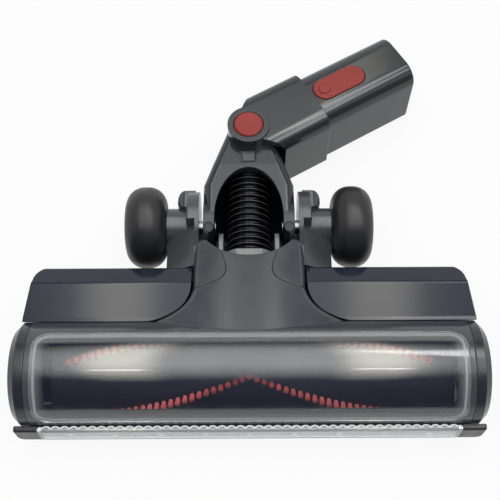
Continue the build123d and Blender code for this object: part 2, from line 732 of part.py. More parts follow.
def make_bumper():
    """Front bumper: a bar behind the lamp lens, with solid ends."""
    back = BUMPER_FRONT + LENS_DEPTH
    bar_top = BUMPER_HIGH - FLUTE_HIGH
    bar = block(-SHELL_HALF, SHELL_HALF, back + SEAT, back + BUMPER_BAR, BUMPER_LOW, bar_top)
    end = block(LENS_HALF + SLIDE_GAP, BUMPER_HALF, BUMPER_FRONT, back + SEAT, BUMPER_LOW, BUMPER_HIGH)
    outer = [e for e in end.edges() if e.center().X > BUMPER_HALF - SEAM]
    end = fillet([e for e in outer if e.center().Z < BUMPER_LOW + SEAM], BUMPER_TOE)
    outer = [e for e in end.edges() if e.center().X > BUMPER_HALF - SEAM]
    end = fillet([e for e in outer if e.center().Z > BUMPER_HIGH - SEAM], BUMPER_TOP_ROUND)
    rim = [e for e in end.edges() if e.center().Y < BUMPER_FRONT + SEAM]
    rim = [e for e in rim if e.center().X > BUMPER_HALF - BUMPER_TOE]
    end = fillet(rim, BUMPER_ROUND)
    return bar + both_sides(end)


def make_light_lens():
    """Clear lens of the lamp bar: smooth in front, with half-round flutes along its upper rear edge."""
    back = BUMPER_FRONT + LENS_DEPTH
    count = int(2 * LENS_HALF / FLUTE_PITCH)
    first = -FLUTE_PITCH * (count - 1) / 2
    flutes = Sketch() + [Pos(first + i * FLUTE_PITCH, back - FLUTE_R) * Circle(FLUTE_R) for i in range(count)]
    notch = FLUTE_R - sqrt(FLUTE_R**2 - (FLUTE_PITCH / 2) ** 2)
    plan = flutes + patch(-LENS_HALF, LENS_HALF, BUMPER_FRONT, back - notch)
    plan &= patch(-LENS_HALF, LENS_HALF, BUMPER_FRONT, back)
    flute_low = BUMPER_HIGH - FLUTE_HIGH
    lens = block(-LENS_HALF, LENS_HALF, BUMPER_FRONT, back, BUMPER_LOW, flute_low)
    lens += prism_z(plan, flute_low, BUMPER_HIGH)
    fronts = [e for e in lens.edges() if e.length > LENS_HALF and e.center().Y < BUMPER_FRONT + SEAM]
    lens = fillet(fronts, LENS_EDGE)
    channel_front = back - LAMP_BOARD_THICK - LAMP_THICK - SEAT
    inner = LENS_HALF - LENS_WALL
    return lens - block(-inner, inner, channel_front, back, BUMPER_LOW + LENS_WALL, flute_low - LENS_WALL)


def make_led_board():
    """Thin board behind the lens."""
    back = BUMPER_FRONT + LENS_DEPTH
    half = LENS_HALF - LENS_WALL - SLIDE_GAP
    z0 = BUMPER_LOW + LENS_WALL + SLIDE_GAP
    z1 = BUMPER_HIGH - FLUTE_HIGH - LENS_WALL - SLIDE_GAP
    return block(-half, half, back - LAMP_BOARD_THICK, back, z0, z1)


def make_leds():
    """Row of lamps on the board."""
    y1 = BUMPER_FRONT + LENS_DEPTH - LAMP_BOARD_THICK
    z = (BUMPER_LOW + BUMPER_HIGH - FLUTE_HIGH) / 2
    half = LAMP_WIDTH / 2
    lamps = []
    for i in range(LAMP_COUNT):
        x = (i - (LAMP_COUNT - 1) / 2) * LAMP_PITCH
        lamps.append(block(x - half, x + half, y1 - LAMP_THICK, y1, z - half, z + half))
    return Compound(children=lamps)


def make_air_duct():
    """Tube from the brush chamber to the hose."""
    return rod_y(DUCT_R, DUCT_FRONT, DUCT_REAR, 0, DUCT_Z) - rod_y(
        DUCT_R - DUCT_WALL, DUCT_FRONT, DUCT_REAR, 0, DUCT_Z
    )


def make_hose_collar():
    """Collar that clamps the hose to the duct, with a cheek on each side."""
    y0 = DUCT_REAR + SEAT
    ring = rod_y(COLLAR_R, y0, y0 + COLLAR_DEPTH, 0, DUCT_Z) & block(
        -CHEEK_OUT, CHEEK_OUT, y0, y0 + COLLAR_DEPTH, YOKE_FLOOR + SEAT, TONGUE_LOW - SEAM
    )
    cheek_low = DUCT_Z - CHEEK_HEIGHT / 2
    cheek = block(CHEEK_IN, CHEEK_OUT, y0, CHEEK_REAR, cheek_low, cheek_low + CHEEK_HEIGHT)
    ends = [e for e in cheek.edges() if e.center().Y > CHEEK_REAR - SEAM and abs(e.tangent_at(0).X) > 0.5]
    cheek = fillet(ends, CHEEK_ROUND)
    return ring + both_sides(cheek) - rod_y(HOSE_R + SLIDE_GAP, y0, CHEEK_REAR, 0, DUCT_Z)


def make_motor():
    """Motor can with a stepped end that carries the shaft."""
    can = rod_x(MOTOR_R, MOTOR_LEFT, MOTOR_RIGHT, MOTOR_Y, MOTOR_Z)
    nose_end = MOTOR_LEFT - MOTOR_NOSE
    nose = rod_x(MOTOR_R / 2, nose_end, MOTOR_LEFT, MOTOR_Y, MOTOR_Z)
    return can + nose - rod_x(MOTOR_SHAFT_R + RUNNING, nose_end, MOTOR_RIGHT, MOTOR_Y, MOTOR_Z)


def make_motor_shaft():
    """Steel shaft through the motor."""
    return rod_x(MOTOR_SHAFT_R, PULLEY_LEFT, MOTOR_RIGHT, MOTOR_Y, MOTOR_Z)


def make_motor_pulley():
    """Small toothless pulley on the motor shaft."""
    return rod_x(MOTOR_PULLEY_R, PULLEY_LEFT, PULLEY_LEFT + PULLEY_W, MOTOR_Y, MOTOR_Z) - rod_x(
        MOTOR_SHAFT_R + SEAT, PULLEY_LEFT, PULLEY_LEFT + PULLEY_W, MOTOR_Y, MOTOR_Z
    )


def make_drive_belt():
    """Flat belt from the motor to the brush."""
    ring = belt_outline(BELT_GAP + BELT_THICK) - belt_outline(BELT_GAP)
    return prism_x(ring, PULLEY_LEFT, PULLEY_LEFT + PULLEY_W)


def make_control_board():
    """Circuit board on four posts."""
    y0 = MOTOR_Y - BOARD_DEPTH / 2
    z0 = BOARD_Z + SEAT
    return block(BOARD_LEFT, BOARD_LEFT + BOARD_LENGTH, y0, y0 + BOARD_DEPTH, z0, z0 + BOARD_THICK)


def make_axle():
    """Right-hand steel axle, fixed in the ear."""
    return rod_x(AXLE_R, AXLE_IN, AXLE_END, AXLE_Y, AXLE_Z)


def hub_outer():
    """Where the hub's outer face lies."""
    return WHEEL_IN + WHEEL_W - HUB_INSET


def make_wheel_hub():
    """Right-hand hub, recessed outside for the axle clip."""
    hub = rod_x(HUB_R, WHEEL_IN + SEAM, hub_outer(), AXLE_Y, AXLE_Z)
    hub -= rod_x(HUB_RECESS_R, hub_outer() - HUB_RECESS, hub_outer(), AXLE_Y, AXLE_Z)
    return hub - rod_x(AXLE_R + RUNNING, WHEEL_IN, hub_outer(), AXLE_Y, AXLE_Z)


def make_tyre():
    """Right-hand fat tyre with round shoulders."""
    ring = patch(HUB_R + SEAT, WHEEL_R, WHEEL_IN, WHEEL_IN + WHEEL_W)
    shoulders = [v for v in ring.vertices() if v.X > WHEEL_R - SEAM]
    ring = fillet(shoulders, WHEEL_ROUND - SEAT)
    tyre = revolve(Plane.XZ * ring, axis=Axis.Z)
    return Pos(0, AXLE_Y, AXLE_Z) * Rot(0, 90, 0) * tyre


def make_axle_clip():
    """Right-hand spring clip on the axle's end, in the hub's recess."""
    x0 = hub_outer() - HUB_RECESS + SEAM
    return rod_x(CLIP_R, x0, x0 + CLIP_THICK, AXLE_Y, AXLE_Z) - rod_x(
        AXLE_R + SEAT, x0, x0 + CLIP_THICK, AXLE_Y, AXLE_Z
    )


def make_brush_core():
    """Roller body on its shaft."""
    return rod_x(CORE_R, CORE_LEFT, CORE_RIGHT, BRUSH_Y, BRUSH_Z) - rod_x(
        SHAFT_R + SEAT, CORE_LEFT, CORE_RIGHT, BRUSH_Y, BRUSH_Z
    )


def make_brush_tufts():
    """Rows of tufts that form a chevron, highest at mid width."""
    root = CORE_R - TUFT_ROOT
    tuft = Pos(0, 0, root) * extrude(RegularPolygon(TUFT_R, 6), BRUSH_R - root, taper=TUFT_TAPER)
    tufts = []
    for row in range(TUFT_ROWS):
        for i in range(-TUFT_HALF_ROW, TUFT_HALF_ROW + 1):
            x = i * TUFT_PITCH
            up = CHEVRON_DEG - CHEVRON_FALL * abs(i) / TUFT_HALF_ROW + row * 360 / TUFT_ROWS
            tufts.append(Pos(x, BRUSH_Y, BRUSH_Z) * Rot(90 - up, 0, 0) * tuft)
    return Compound(children=tufts)


def make_brush_shaft():
    """Steel shaft through the roller, carried by both bearings."""
    return rod_x(SHAFT_R, -SHAFT_END, SHAFT_END, BRUSH_Y, BRUSH_Z)


def make_brush_pulley():
    """Belt pulley at the roller's left end."""
    return rod_x(BRUSH_PULLEY_R, PULLEY_LEFT, PULLEY_LEFT + PULLEY_W, BRUSH_Y, BRUSH_Z) - rod_x(
        SHAFT_R + SEAT, PULLEY_LEFT, PULLEY_LEFT + PULLEY_W, BRUSH_Y, BRUSH_Z
    )


def make_bearing():
    """Right-hand brush bearing in its end cap."""
    x0 = WIDTH / 2 - CAP_DEPTH
    return rod_x(BEARING_R, x0, x0 + BEARING_W, BRUSH_Y, BRUSH_Z) - rod_x(
        SHAFT_R + RUNNING, x0, x0 + BEARING_W, BRUSH_Y, BRUSH_Z
    )


def neck_plan(inset):
    """Plan of the lower neck: parallel at the feet, then tapering to the round lug."""
    half = NECK_HALF - inset
    radius = LUG_R - inset
    touch_x, touch_y = tangent_point(half, NECK_TAPER_Y, PIVOT_Y, radius)
    face = outline(
        (-half, AXLE_Y - FOOT_R),
        (half, AXLE_Y - FOOT_R),
        (half, NECK_TAPER_Y),
        (touch_x, touch_y),
        (-touch_x, touch_y),
        (-half, NECK_TAPER_Y),
    )
    return face + Pos(0, PIVOT_Y) * Circle(radius)


def make_lower_neck():
    """Hooded neck on two feet, arched open over the hose."""
    rear = PIVOT_Y + LUG_R
    side = outline(
        (AXLE_Y, NECK_LOW),
        (AXLE_Y, AXLE_Z + FOOT_R - SLIDE_GAP),
        (NECK_RISE_Y, NECK_TOP),
        (rear, NECK_TOP),
        (rear, NECK_LOW),
    )
    side += Pos(AXLE_Y, AXLE_Z) * Circle(FOOT_R)
    hood = prism_z(neck_plan(0), 0, NECK_TOP) & prism_x(side, -NECK_HALF, NECK_HALF)
    shoulders = [e for e in hood.edges() if e.center().Z > AXLE_Z + FOOT_R - OVER]
    shoulders = [e for e in shoulders if e.center().Y > AXLE_Y + OVER]
    shoulders = [e for e in shoulders if abs(e.tangent_at(0.5).X) < 0.9 or e.center().Y > PIVOT_Y]
    hood = fillet(shoulders, NECK_ROUND)
    pad = block(-PAD_HALF, PAD_HALF, PAD_FRONT, PAD_REAR, NECK_TOP - NECK_LUG, NECK_TOP + PAD_HIGH)
    hood += chamfer(pad.edges().group_by(Axis.Z)[-1], PAD_HIGH)

    lug_low = NECK_TOP - NECK_LUG
    lug_high = NECK_LOW + NECK_WALL
    hollow = prism_z(neck_plan(NECK_WALL), lug_high, lug_low)
    hollow += block(-NECK_HALF, NECK_HALF, NECK_OPEN_Y, rear + OVER, lug_high, lug_low)
    hood -= hollow
    foot_end = AXLE_Y - FOOT_R - OVER
    hood -= block(-FOOT_IN, FOOT_IN, foot_end, ARCH_Y, 0, THROAT_Z)
    arch = Pos(0, ARCH_Y) * Ellipse(FOOT_IN, ARCH_DEPTH)
    hood -= prism_z(arch, AXLE_Z, THROAT_Z)
    hood -= block(-FOOT_IN, FOOT_IN, foot_end, BELLY_Y, 0, AXLE_Z)
    hood += both_sides(rod_x(FOOT_R, FOOT_IN, NECK_HALF, AXLE_Y, AXLE_Z))
    hood -= both_sides(rod_x(AXLE_R + RUNNING, AXLE_IN - OVER, NECK_HALF + OVER, AXLE_Y, AXLE_Z))
    hood -= rod_z(PIVOT_PIN_R + RUNNING, 0, THROAT_Z, 0, PIVOT_Y)
    for screw_hole in foot_screws(SLIDE_GAP):
        hood -= screw_hole
    return hood


def foot_screws(grow):
    """Screws set into the round of each foot, facing forward and up."""
    screws = []
    for x in (-(FOOT_IN + NECK_HALF) / 2, (FOOT_IN + NECK_HALF) / 2):
        height = FOOT_R - AXLE_R - FOOT_SCREW_FLOOR + 2 * grow
        rod = Pos(0, 0, FOOT_R - height / 2 + grow) * Cylinder(FOOT_SCREW_R + grow, height)
        screws.append(Pos(x, AXLE_Y, AXLE_Z) * Rot(FOOT_SCREW_DEG - 90, 0, 0) * rod)
    return screws


def make_foot_screws():
    """Both foot screws as one group."""
    return Compound(children=[rod & rod for rod in foot_screws(0)])


def posed(shape):
    """Turn a piece of the upper neck, modelled straight to the rear of the pivot, to its rest."""
    return Pos(0, PIVOT_Y, 0) * Rot(0, 0, -REST_SWIVEL) * shape


def rounded_section(half, low, high, top_round, low_round):
    """Front outline from a low to a high edge, with its own rounding above and below."""
    face = patch(-half, half, low, high)
    face = fillet(face.vertices().group_by(Axis.Y)[-1], top_round)
    return fillet(face.vertices().group_by(Axis.Y)[0], low_round)


def make_elbow():
    """Elbow: two swivel plates on a hollow collar that takes the connector tube."""
    touch_x, touch_y = tangent_point(ELBOW_HALF, ELBOW_WALL_S, 0, LUG_R)
    plan = outline(
        (-ELBOW_HALF, ELBOW_END_S),
        (-ELBOW_HALF, ELBOW_WALL_S),
        (-touch_x, -abs(touch_y)),
        (touch_x, -abs(touch_y)),
        (ELBOW_HALF, ELBOW_WALL_S),
        (ELBOW_HALF, ELBOW_END_S),
    )
    plan += Circle(LUG_R)
    section = rounded_section(ELBOW_HALF, ELBOW_LOW, ELBOW_TOP, ELBOW_ROUND, ELBOW_LOW_ROUND)
    body = prism_z(plan, ELBOW_LOW, ELBOW_TOP) & prism_y(section, -LUG_R, ELBOW_END_S)
    body += rod_z(LUG_R, ELBOW_TOP - ELBOW_PLATE, BOSS_TOP, 0, 0)

    gap_low = NECK_LOW - SEAM
    gap_high = NECK_TOP + SEAM
    body -= block(-2 * ELBOW_HALF, 2 * ELBOW_HALF, -ELBOW_END_S, ELBOW_WALL_S, gap_low, gap_high)
    cavity = rounded_section(ELBOW_CAVITY_HALF, gap_low, gap_high, ELBOW_ROUND, ELBOW_LOW_ROUND)
    body -= prism_y(cavity, ELBOW_WALL_S, ELBOW_END_S)
    fit = SLIDE_GAP
    socket = rounded_section(
        TUBE_HALF + fit, TUBE_LOW - fit, TUBE_TOP + fit, TUBE_ROUND + fit, TUBE_LOW_ROUND + fit
    )
    body -= prism_y(socket, ELBOW_SOCKET_S, ELBOW_END_S)
    cap_floor = BOSS_TOP - PIVOT_CAP_THICK
    body -= rod_z(PIVOT_CAP_R + SLIDE_GAP, cap_floor, BOSS_TOP, 0, 0)
    body -= rod_z(PIVOT_PIN_R + SEAT, 0, BOSS_TOP, 0, 0)
    body -= rod_z(PIN_HEAD_R + SEAT, cap_floor - PIN_HEAD - SEAT, BOSS_TOP, 0, 0)
    body -= rod_z(PIN_HEAD_R + SEAT, 0, ELBOW_LOW + PIN_HEAD + SEAT, 0, 0)
    return posed(body)


def make_upper_swivel_pin():
    """Headed pin through the elbow's top plate into the neck's upper lug."""
    top = BOSS_TOP - PIVOT_CAP_THICK - SEAT
    pin = rod_z(PIVOT_PIN_R, NECK_TOP - NECK_LUG, top, 0, 0)
    return posed(pin + rod_z(PIN_HEAD_R, top - PIN_HEAD, top, 0, 0))


def make_lower_swivel_pin():
    """Headed pin through the elbow's bottom plate into the neck's lower lug."""
    pin = rod_z(PIVOT_PIN_R, ELBOW_LOW, NECK_LOW + NECK_WALL, 0, 0)
    return posed(pin + rod_z(PIN_HEAD_R, ELBOW_LOW, ELBOW_LOW + PIN_HEAD, 0, 0))


def make_pivot_cap():
    """Red cap over the swivel pin, slightly domed."""
    cap = rod_z(PIVOT_CAP_R, BOSS_TOP - PIVOT_CAP_THICK + SEAT, BOSS_TOP + PIVOT_CAP_DOME, 0, 0)
    return posed(fillet(cap.edges().group_by(Axis.Z)[-1], PIVOT_CAP_DOME * 2))


def socket_z():
    """Height of the socket's axis."""
    return TUBE_LOW + SOCKET_FLOOR + SOCKET_R


def button_plan(grow):
    """Plan of the button: a pill along the tube."""
    pill = SlotOverall(BUTTON_LENGTH + 2 * grow, BUTTON_W + 2 * grow, rotation=90)
    return Pos(0, BUTTON_S) * pill


def make_wand_tube():
    """Connector tube with the socket, the button's pocket and the contact seat."""
    section = rounded_section(TUBE_HALF, TUBE_LOW, TUBE_TOP, TUBE_ROUND, TUBE_LOW_ROUND)
    tube = prism_y(section, ELBOW_SOCKET_S + SEAM, TUBE_END_S)
    end_face = tube.faces().sort_by(Axis.Y)[-1]
    tube = fillet(end_face.edges(), TUBE_END_ROUND)
    tube -= rod_y(SOCKET_R, TUBE_END_S - SOCKET_LENGTH, TUBE_END_S, 0, socket_z())
    tube -= rod_y(CUFF_R + SEAT, ELBOW_SOCKET_S, TUBE_END_S - SOCKET_LENGTH, 0, socket_z())
    tube -= prism_z(button_plan(SLIDE_GAP), POCKET_FLOOR, TUBE_TOP)
    seat = CONTACT_HALF + SLIDE_GAP
    back = TUBE_END_S - CONTACT_DEPTH
    tube -= block(-seat, seat, back, TUBE_END_S, CONTACT_LOW - SEAT, CONTACT_HIGH + SEAT)
    return posed(tube)


def make_hose_cuff():
    """Cuff on the hose's upper end, seated in the connector tube."""
    y0 = ELBOW_SOCKET_S + SEAM
    cuff = rod_y(CUFF_R, y0, y0 + CUFF_LENGTH, 0, socket_z())
    return posed(cuff - rod_y(HOSE_R - HOSE_GROOVE - HOSE_WALL, y0, y0 + CUFF_LENGTH, 0, socket_z()))


def make_release_button():
    """Red pill-shaped button with a round rest for the thumb."""
    low = BUTTON_TOP - BUTTON_HEIGHT
    button = prism_z(button_plan(0), low, BUTTON_TOP)
    button = fillet(button.edges().group_by(Axis.Z)[-1], BUTTON_ROUND)
    bump = rod_z(BUMP_R, BUTTON_TOP - BUTTON_ROUND, BUTTON_TOP + BUMP_HIGH, 0, BUMP_S)
    return posed(button + fillet(bump.edges().group_by(Axis.Z)[-1], BUMP_ROUND))


def make_latch_spring():
    """Bowed leaf spring between the pocket's floor and the button."""
    rise = BUTTON_TOP - BUTTON_HEIGHT - POCKET_FLOOR - SPRING_THICK - 2 * SEAT
    half = SPRING_LENGTH / 2
    radius = (half**2 + rise**2) / (2 * rise)
    low = POCKET_FLOOR + SEAT
    sweep_deg = degrees(asin(half / radius))
    centre = (0, low + rise - radius)
    top = CenterArc(centre, radius + SPRING_THICK, 90 - sweep_deg, 2 * sweep_deg)
    under = CenterArc(centre, radius, 90 - sweep_deg, 2 * sweep_deg)
    sides = [Line(top @ 0, under @ 0), Line(top @ 1, under @ 1)]
    leaf = prism_x(make_face([top, under] + sides), -SPRING_W / 2, SPRING_W / 2)
    return posed(Pos(0, BUTTON_S, 0) * leaf)


def make_contact_block():
    """Insulating block for the contacts."""
    back = TUBE_END_S - CONTACT_DEPTH + SEAT
    seat = block(-CONTACT_HALF, CONTACT_HALF, back, TUBE_END_S - 2 * BLADE_OUT, CONTACT_LOW, CONTACT_HIGH)
    for blade in contact_blades(SEAT):
        seat -= blade
    return posed(seat)


def contact_blades(grow):
    """Upright blades, side by side in the block."""
    back = TUBE_END_S - BLADE_IN - grow
    z = (CONTACT_LOW + CONTACT_HIGH) / 2
    half_w = BLADE_W / 2 + grow
    half_h = BLADE_HEIGHT / 2 + grow
    end = TUBE_END_S - BLADE_OUT
    return [block(x - half_w, x + half_w, back, end, z - half_h, z + half_h) for x in (-BLADE_X, BLADE_X)]


def make_contacts():
    """Pair of brass blades."""
    return Compound(children=[posed(blade) for blade in contact_blades(0)])


def make_hose():
    """Corrugated hose from the collar to the elbow, where it bends with the swivel."""
    valley = HOSE_R - HOSE_GROOVE
    bore = valley - HOSE_WALL
    start = DUCT_REAR + SEAT
    bend_reach = HOSE_BEND_R * sin(radians(REST_SWIVEL / 2)) / cos(radians(REST_SWIVEL / 2))
    bend_start = PIVOT_Y - bend_reach
    points = [(bore, start), (valley, start)]
    ridge_start = bend_start - HOSE_TURNS * HOSE_PITCH
    for i in range(HOSE_TURNS):
        foot = ridge_start + i * HOSE_PITCH
        points += [
            (valley, foot),
            (HOSE_R, foot + HOSE_PITCH / 4),
            (HOSE_R, foot + HOSE_PITCH / 2),
            (valley, foot + HOSE_PITCH * 3 / 4),
        ]
    points += [(valley, bend_start), (bore, bend_start)]
    straight = revolve(outline(*points), axis=Axis.Y)
    ring = Circle(valley) - Circle(bore)
    mouth = Pos(0, bend_start, 0) * Rot(90, 0, 0) * ring
    bend = revolve(mouth, axis=Axis((HOSE_BEND_R, bend_start, 0), (0, 0, -1)), revolution_arc=REST_SWIVEL)
    lead = rod_y(valley, bend_reach, ELBOW_SOCKET_S, 0, 0) - rod_y(bore, bend_reach, ELBOW_SOCKET_S, 0, 0)
    return Pos(0, 0, DUCT_Z) * (straight + bend + posed(lead))


def left_of(right):
    """Mirror image of a right-hand piece."""
    return mirror(right, about=Plane.YZ)


left_wing, right_wing = make_wings()
PIECES = {
    "front_shell": make_front_shell(),
    "window": make_window(),
    "right_end_cap": make_end_cap(True),
    "left_end_cap": left_of(make_end_cap(False)),
    "brush_lock": make_brush_lock(),
    "left_wing": left_wing,
    "right_wing": right_wing,
    "yoke": make_yoke(),
    "sole_plate": make_sole_plate(),
    "sole_screws": make_sole_screws(),
    "felt_strip": make_felt_strip(),
    "bumper": make_bumper(),
    "light_lens": make_light_lens(),
    "led_board": make_led_board(),
    "leds": make_leds(),
    "air_duct": make_air_duct(),
    "hose_collar": make_hose_collar(),
    "hose": make_hose(),
    "motor": make_motor(),
    "motor_shaft": make_motor_shaft(),
    "motor_pulley": make_motor_pulley(),
    "drive_belt": make_drive_belt(),
    "control_board": make_control_board(),
    "brush_core": make_brush_core(),
    "brush_tufts": make_brush_tufts(),
    "brush_shaft": make_brush_shaft(),
    "brush_pulley": make_brush_pulley(),
    "right_bearing": make_bearing(),
    "left_bearing": left_of(make_bearing()),
    "right_axle": make_axle(),
    "left_axle": left_of(make_axle()),
    "right_axle_clip": make_axle_clip(),
    "left_axle_clip": left_of(make_axle_clip()),
    "right_wheel_hub": make_wheel_hub(),
    "left_wheel_hub": left_of(make_wheel_hub()),
    "right_tyre": make_tyre(),
    "left_tyre": left_of(make_tyre()),
    "lower_neck": make_lower_neck(),
    "foot_screws": make_foot_screws(),
    "elbow": make_elbow(),
    "upper_swivel_pin": make_upper_swivel_pin(),
    "lower_swivel_pin": make_lower_swivel_pin(),
    "pivot_cap": make_pivot_cap(),
    "wand_tube": make_wand_tube(),
    "hose_cuff": make_hose_cuff(),
    "release_button": make_release_button(),
    "latch_spring": make_latch_spring(),
    "contact_block": make_contact_block(),
    "contacts": make_contacts(),
}

os.makedirs("parts", exist_ok=True)
for name, piece in PIECES.items():
    export_step(piece, f"parts/{name}.step")
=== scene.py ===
"""Looks for the floor brush head: materials, hose, bristles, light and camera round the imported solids."""

import math
import random

import bmesh
import bpy
from mathutils import Matrix, Vector


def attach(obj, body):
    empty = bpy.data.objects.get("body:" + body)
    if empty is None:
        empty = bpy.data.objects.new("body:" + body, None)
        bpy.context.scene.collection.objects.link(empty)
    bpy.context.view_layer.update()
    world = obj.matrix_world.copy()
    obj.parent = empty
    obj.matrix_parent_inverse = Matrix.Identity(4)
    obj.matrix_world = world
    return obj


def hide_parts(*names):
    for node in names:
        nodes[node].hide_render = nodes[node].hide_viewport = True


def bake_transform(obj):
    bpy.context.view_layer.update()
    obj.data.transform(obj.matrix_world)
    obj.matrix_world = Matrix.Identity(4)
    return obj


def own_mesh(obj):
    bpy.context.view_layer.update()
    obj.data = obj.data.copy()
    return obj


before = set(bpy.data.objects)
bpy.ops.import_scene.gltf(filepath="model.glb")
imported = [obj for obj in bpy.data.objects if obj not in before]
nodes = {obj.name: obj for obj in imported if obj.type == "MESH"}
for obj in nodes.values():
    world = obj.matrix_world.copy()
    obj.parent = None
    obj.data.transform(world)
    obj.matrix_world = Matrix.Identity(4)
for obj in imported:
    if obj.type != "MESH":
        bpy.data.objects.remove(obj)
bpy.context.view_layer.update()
scene = bpy.context.scene
MM = 0.001

# Camera, in metres and degrees
CAMERA_PLACE = (0.52 * MM, -206.73 * MM, 493.63 * MM)
CAMERA_PITCH = 27.0
CAMERA_ROLL = -0.3
CAMERA_LENS = 64.98
CAMERA_SENSOR = 36.0

# Places and sizes that the solids also have, in millimetres
PIVOT_Y = 103.2
REST_SWIVEL = math.radians(59.5)
NECK_TOP = 42.7
HOOD_HALF = 23.4
HOOD_LOW, HOOD_HIGH = 6.0, 38.7
SHELL_Z = 27.0
CASING_HALF = 118.0
HEAD_HALF_X = 124.0
HEAD_MID_Y, HEAD_HALF_Y = -26.0, 44.0
WINDOW_BED_R = 26.9
WINDOW_R = 28.6
WINDOW_HALF = 113.3
WINDOW_CORNER = 9.5
WINDOW_START, WINDOW_END = math.radians(9.0), math.radians(119.5)
FLUTE_PITCH = 4.9
FLUTE_R = 3.0
FLUTE_Y = -75.5
FLUTE_Z = 24.2
HOSE_Z = 21.5
HOSE_START = 22.3
HOSE_R = 13.0
HOSE_VALLEY = 11.2
HOSE_BORE = 9.8
HOSE_PITCH = 4.0
HOSE_BEND_R = 22.0
HOSE_LEAD = 36.0
HOSE_REACH = HOSE_BEND_R * math.tan(REST_SWIVEL / 2)
HOSE_STRAIGHT = PIVOT_Y - HOSE_REACH - HOSE_START
HOSE_ARC = HOSE_BEND_R * REST_SWIVEL
HOSE_END = HOSE_STRAIGHT + HOSE_ARC + HOSE_LEAD - HOSE_REACH
BRUSH_Y, BRUSH_Z = -44.0, 22.8
CORE_R = 18.0
BRUSH_R = 22.5
TUFT_PITCH = 3.8
TUFT_HALF_ROW = 25
TUFT_ROWS = 3
CHEVRON_DEG = 70.0
CHEVRON_FALL = 98.0
SPRING_S = 64.6
SPRING_LOW = 40.62
SPRING_RISE = 2.16
SPRING_THICK = 0.4
SPRING_HALF_LENGTH = 11.0
SPRING_HALF_W = 4.0

# Fine shapes that only the looks have, in millimetres
HOSE_SPLIT = 52.0
HOSE_PLAIN = 4.0
HOSE_SIDES = 56
RIDGE = "ridge"
RIDGE_STEPS = 10
RIDGE_POWER = 1.3
BUNDLE_RINGS = ((1, 6), (2, 12))
BRISTLE_SEED = 7
FILAMENT_GAP = 0.4
FILAMENT_R = 0.22
FILAMENT_SIDES = 3
FILAMENT_SUNK = 0.5
FILAMENT_WEAR = 0.5
FILAMENT_SPLAY = (1.5, 1.9)
FILAMENT_MIDDLE = 0.6
FILAMENT_BOW = -0.15
FILAMENT_TAPER = 0.7
SPRING_STEPS = 28
SPRING_NARROW = 0.25

# Surfaces: noise scales per metre, lengths in millimetres
RISING, FALLING = (0.0, 1.0), (1.0, 0.0)
WHITE = (1, 1, 1)
NOISE_LOW, NOISE_HIGH = 0.3, 0.7
BEVEL_SAMPLES = 6
TONE_VARY = 0.12
TONE_SCALE = 28.0
GLOSS_SCALE, GLOSS_DETAIL = 120.0, 4.0
GLOSS_LOW, GLOSS_HIGH = 0.8, 1.25
GRAIN_DETAIL = 2.0
GRAIN_DEPTH = 0.2
# Painted shade: the colour that recesses are darkened to
PAINTED_SHADE_COLOUR = (0.006, 0.007, 0.011)
# Painted highlight colour, and where it falls on the neck's pad and the hose's crests
HIGHLIGHT_COLOUR = (0.16, 0.165, 0.165)
PAD_LOW, PAD_HIGH, PAD_HIGHLIGHT = 0.1, 0.8, 0.3
CREST_EDGE, CREST_HIGHLIGHT = (0.9, 1.0), 0.4
CLEAR_IOR = 1.53
CLEAR_EDGE = 0.6
CLEAR_VARY = 1.03
CLEAR_TONE_SCALE = 20.0
CLEAR_GLOSS_SCALE = 90.0
CLEAR_GLOSS_LOW, CLEAR_GLOSS_HIGH = 0.7, 1.3
CLEAR_SHADOW = (0.85, 0.87, 0.9)
OPAQUE_ROUGH = 0.5
# Window rim: a broad opaque haze and a painted highlight line; lens flutes: a painted highlight line
RIM_HAZE_NEAR, RIM_HAZE_FAR, RIM_HAZE = 0.5, 8.5, 0.2
RIM_LINE_INSET, RIM_LINE = 2.2, 0.35
RIM_LINE_NEAR, RIM_LINE_FAR = 0.3, 0.9
FLUTE_LINE = 0.9
FLUTE_BACK = 1.2

# Stage: lengths in metres, each edge as where it starts and where it ends
FLOOR_SIZE, FLOOR_CELLS = 4.0, 4
FLOOR_DROP = 0.0002
FLOOR_SCALE = 3.0
FLOOR_TONES = ((0.86, 0.86, 0.86), (0.9, 0.9, 0.9))
FLOOR_FADE, FLOOR_WHITENESS = (0.5, 1.6), (0.9, 1.0)
UNDER_X = ((HEAD_HALF_X - 4) * MM, HEAD_HALF_X * MM)
UNDER_Y = ((HEAD_HALF_Y - 12) * MM, HEAD_HALF_Y * MM)
LAMP_X, LAMP_Y, LAMP_Z = 0.3, 0.1, 1.05
LAMP_WIDTH, LAMP_DEPTH = 0.5, 1.1
LAMP_ENERGY = 3.2
LAMP_COLOUR = (1.0, 0.98, 0.94)
PANEL_HALF = 0.9
PANEL_FRONT, PANEL_BACK = -0.85, 1.25
FRONT_FADE, FRONT_LEVELS = (PANEL_FRONT, PANEL_FRONT + 0.95), (0.06, 1.0)
BACK_FADE, BACK_LEVELS = (PANEL_BACK - 0.9, PANEL_BACK), (1.0, 0.15)
PANEL_LEAST = 0.25
SHEET_EDGE, SHEET_LEVELS = (0.2, 0.5), (3.2, 0.6)
TUBE_X, TUBE_EDGE, TUBE_GLOW = 0.217, (0.02, 0.09), 4.2
LINE_Y, LINE_EDGE, LINE_ENDS, LINE_GLOW = -0.25, (0.006, 0.026), (0.03, 0.06), 9.0
BOX_SLANT, BOX_GLOW = 0.61, 6.0
BOX_LEFT, BOX_RIGHT = (0.44, 0.53), (0.5, 0.65)
BOX_NEAR, BOX_FAR = (0.08, 0.2), (0.4, 0.6)
SIDE_GLOW = 5.0
SIDE_LEFT, SIDE_RIGHT = (0.37, 0.5), (0.82, 0.9)
SIDE_NEAR, SIDE_FAR = (-0.5, -0.3), (0.05, 0.25)
WARM_EDGE = (0.02, 0.12)
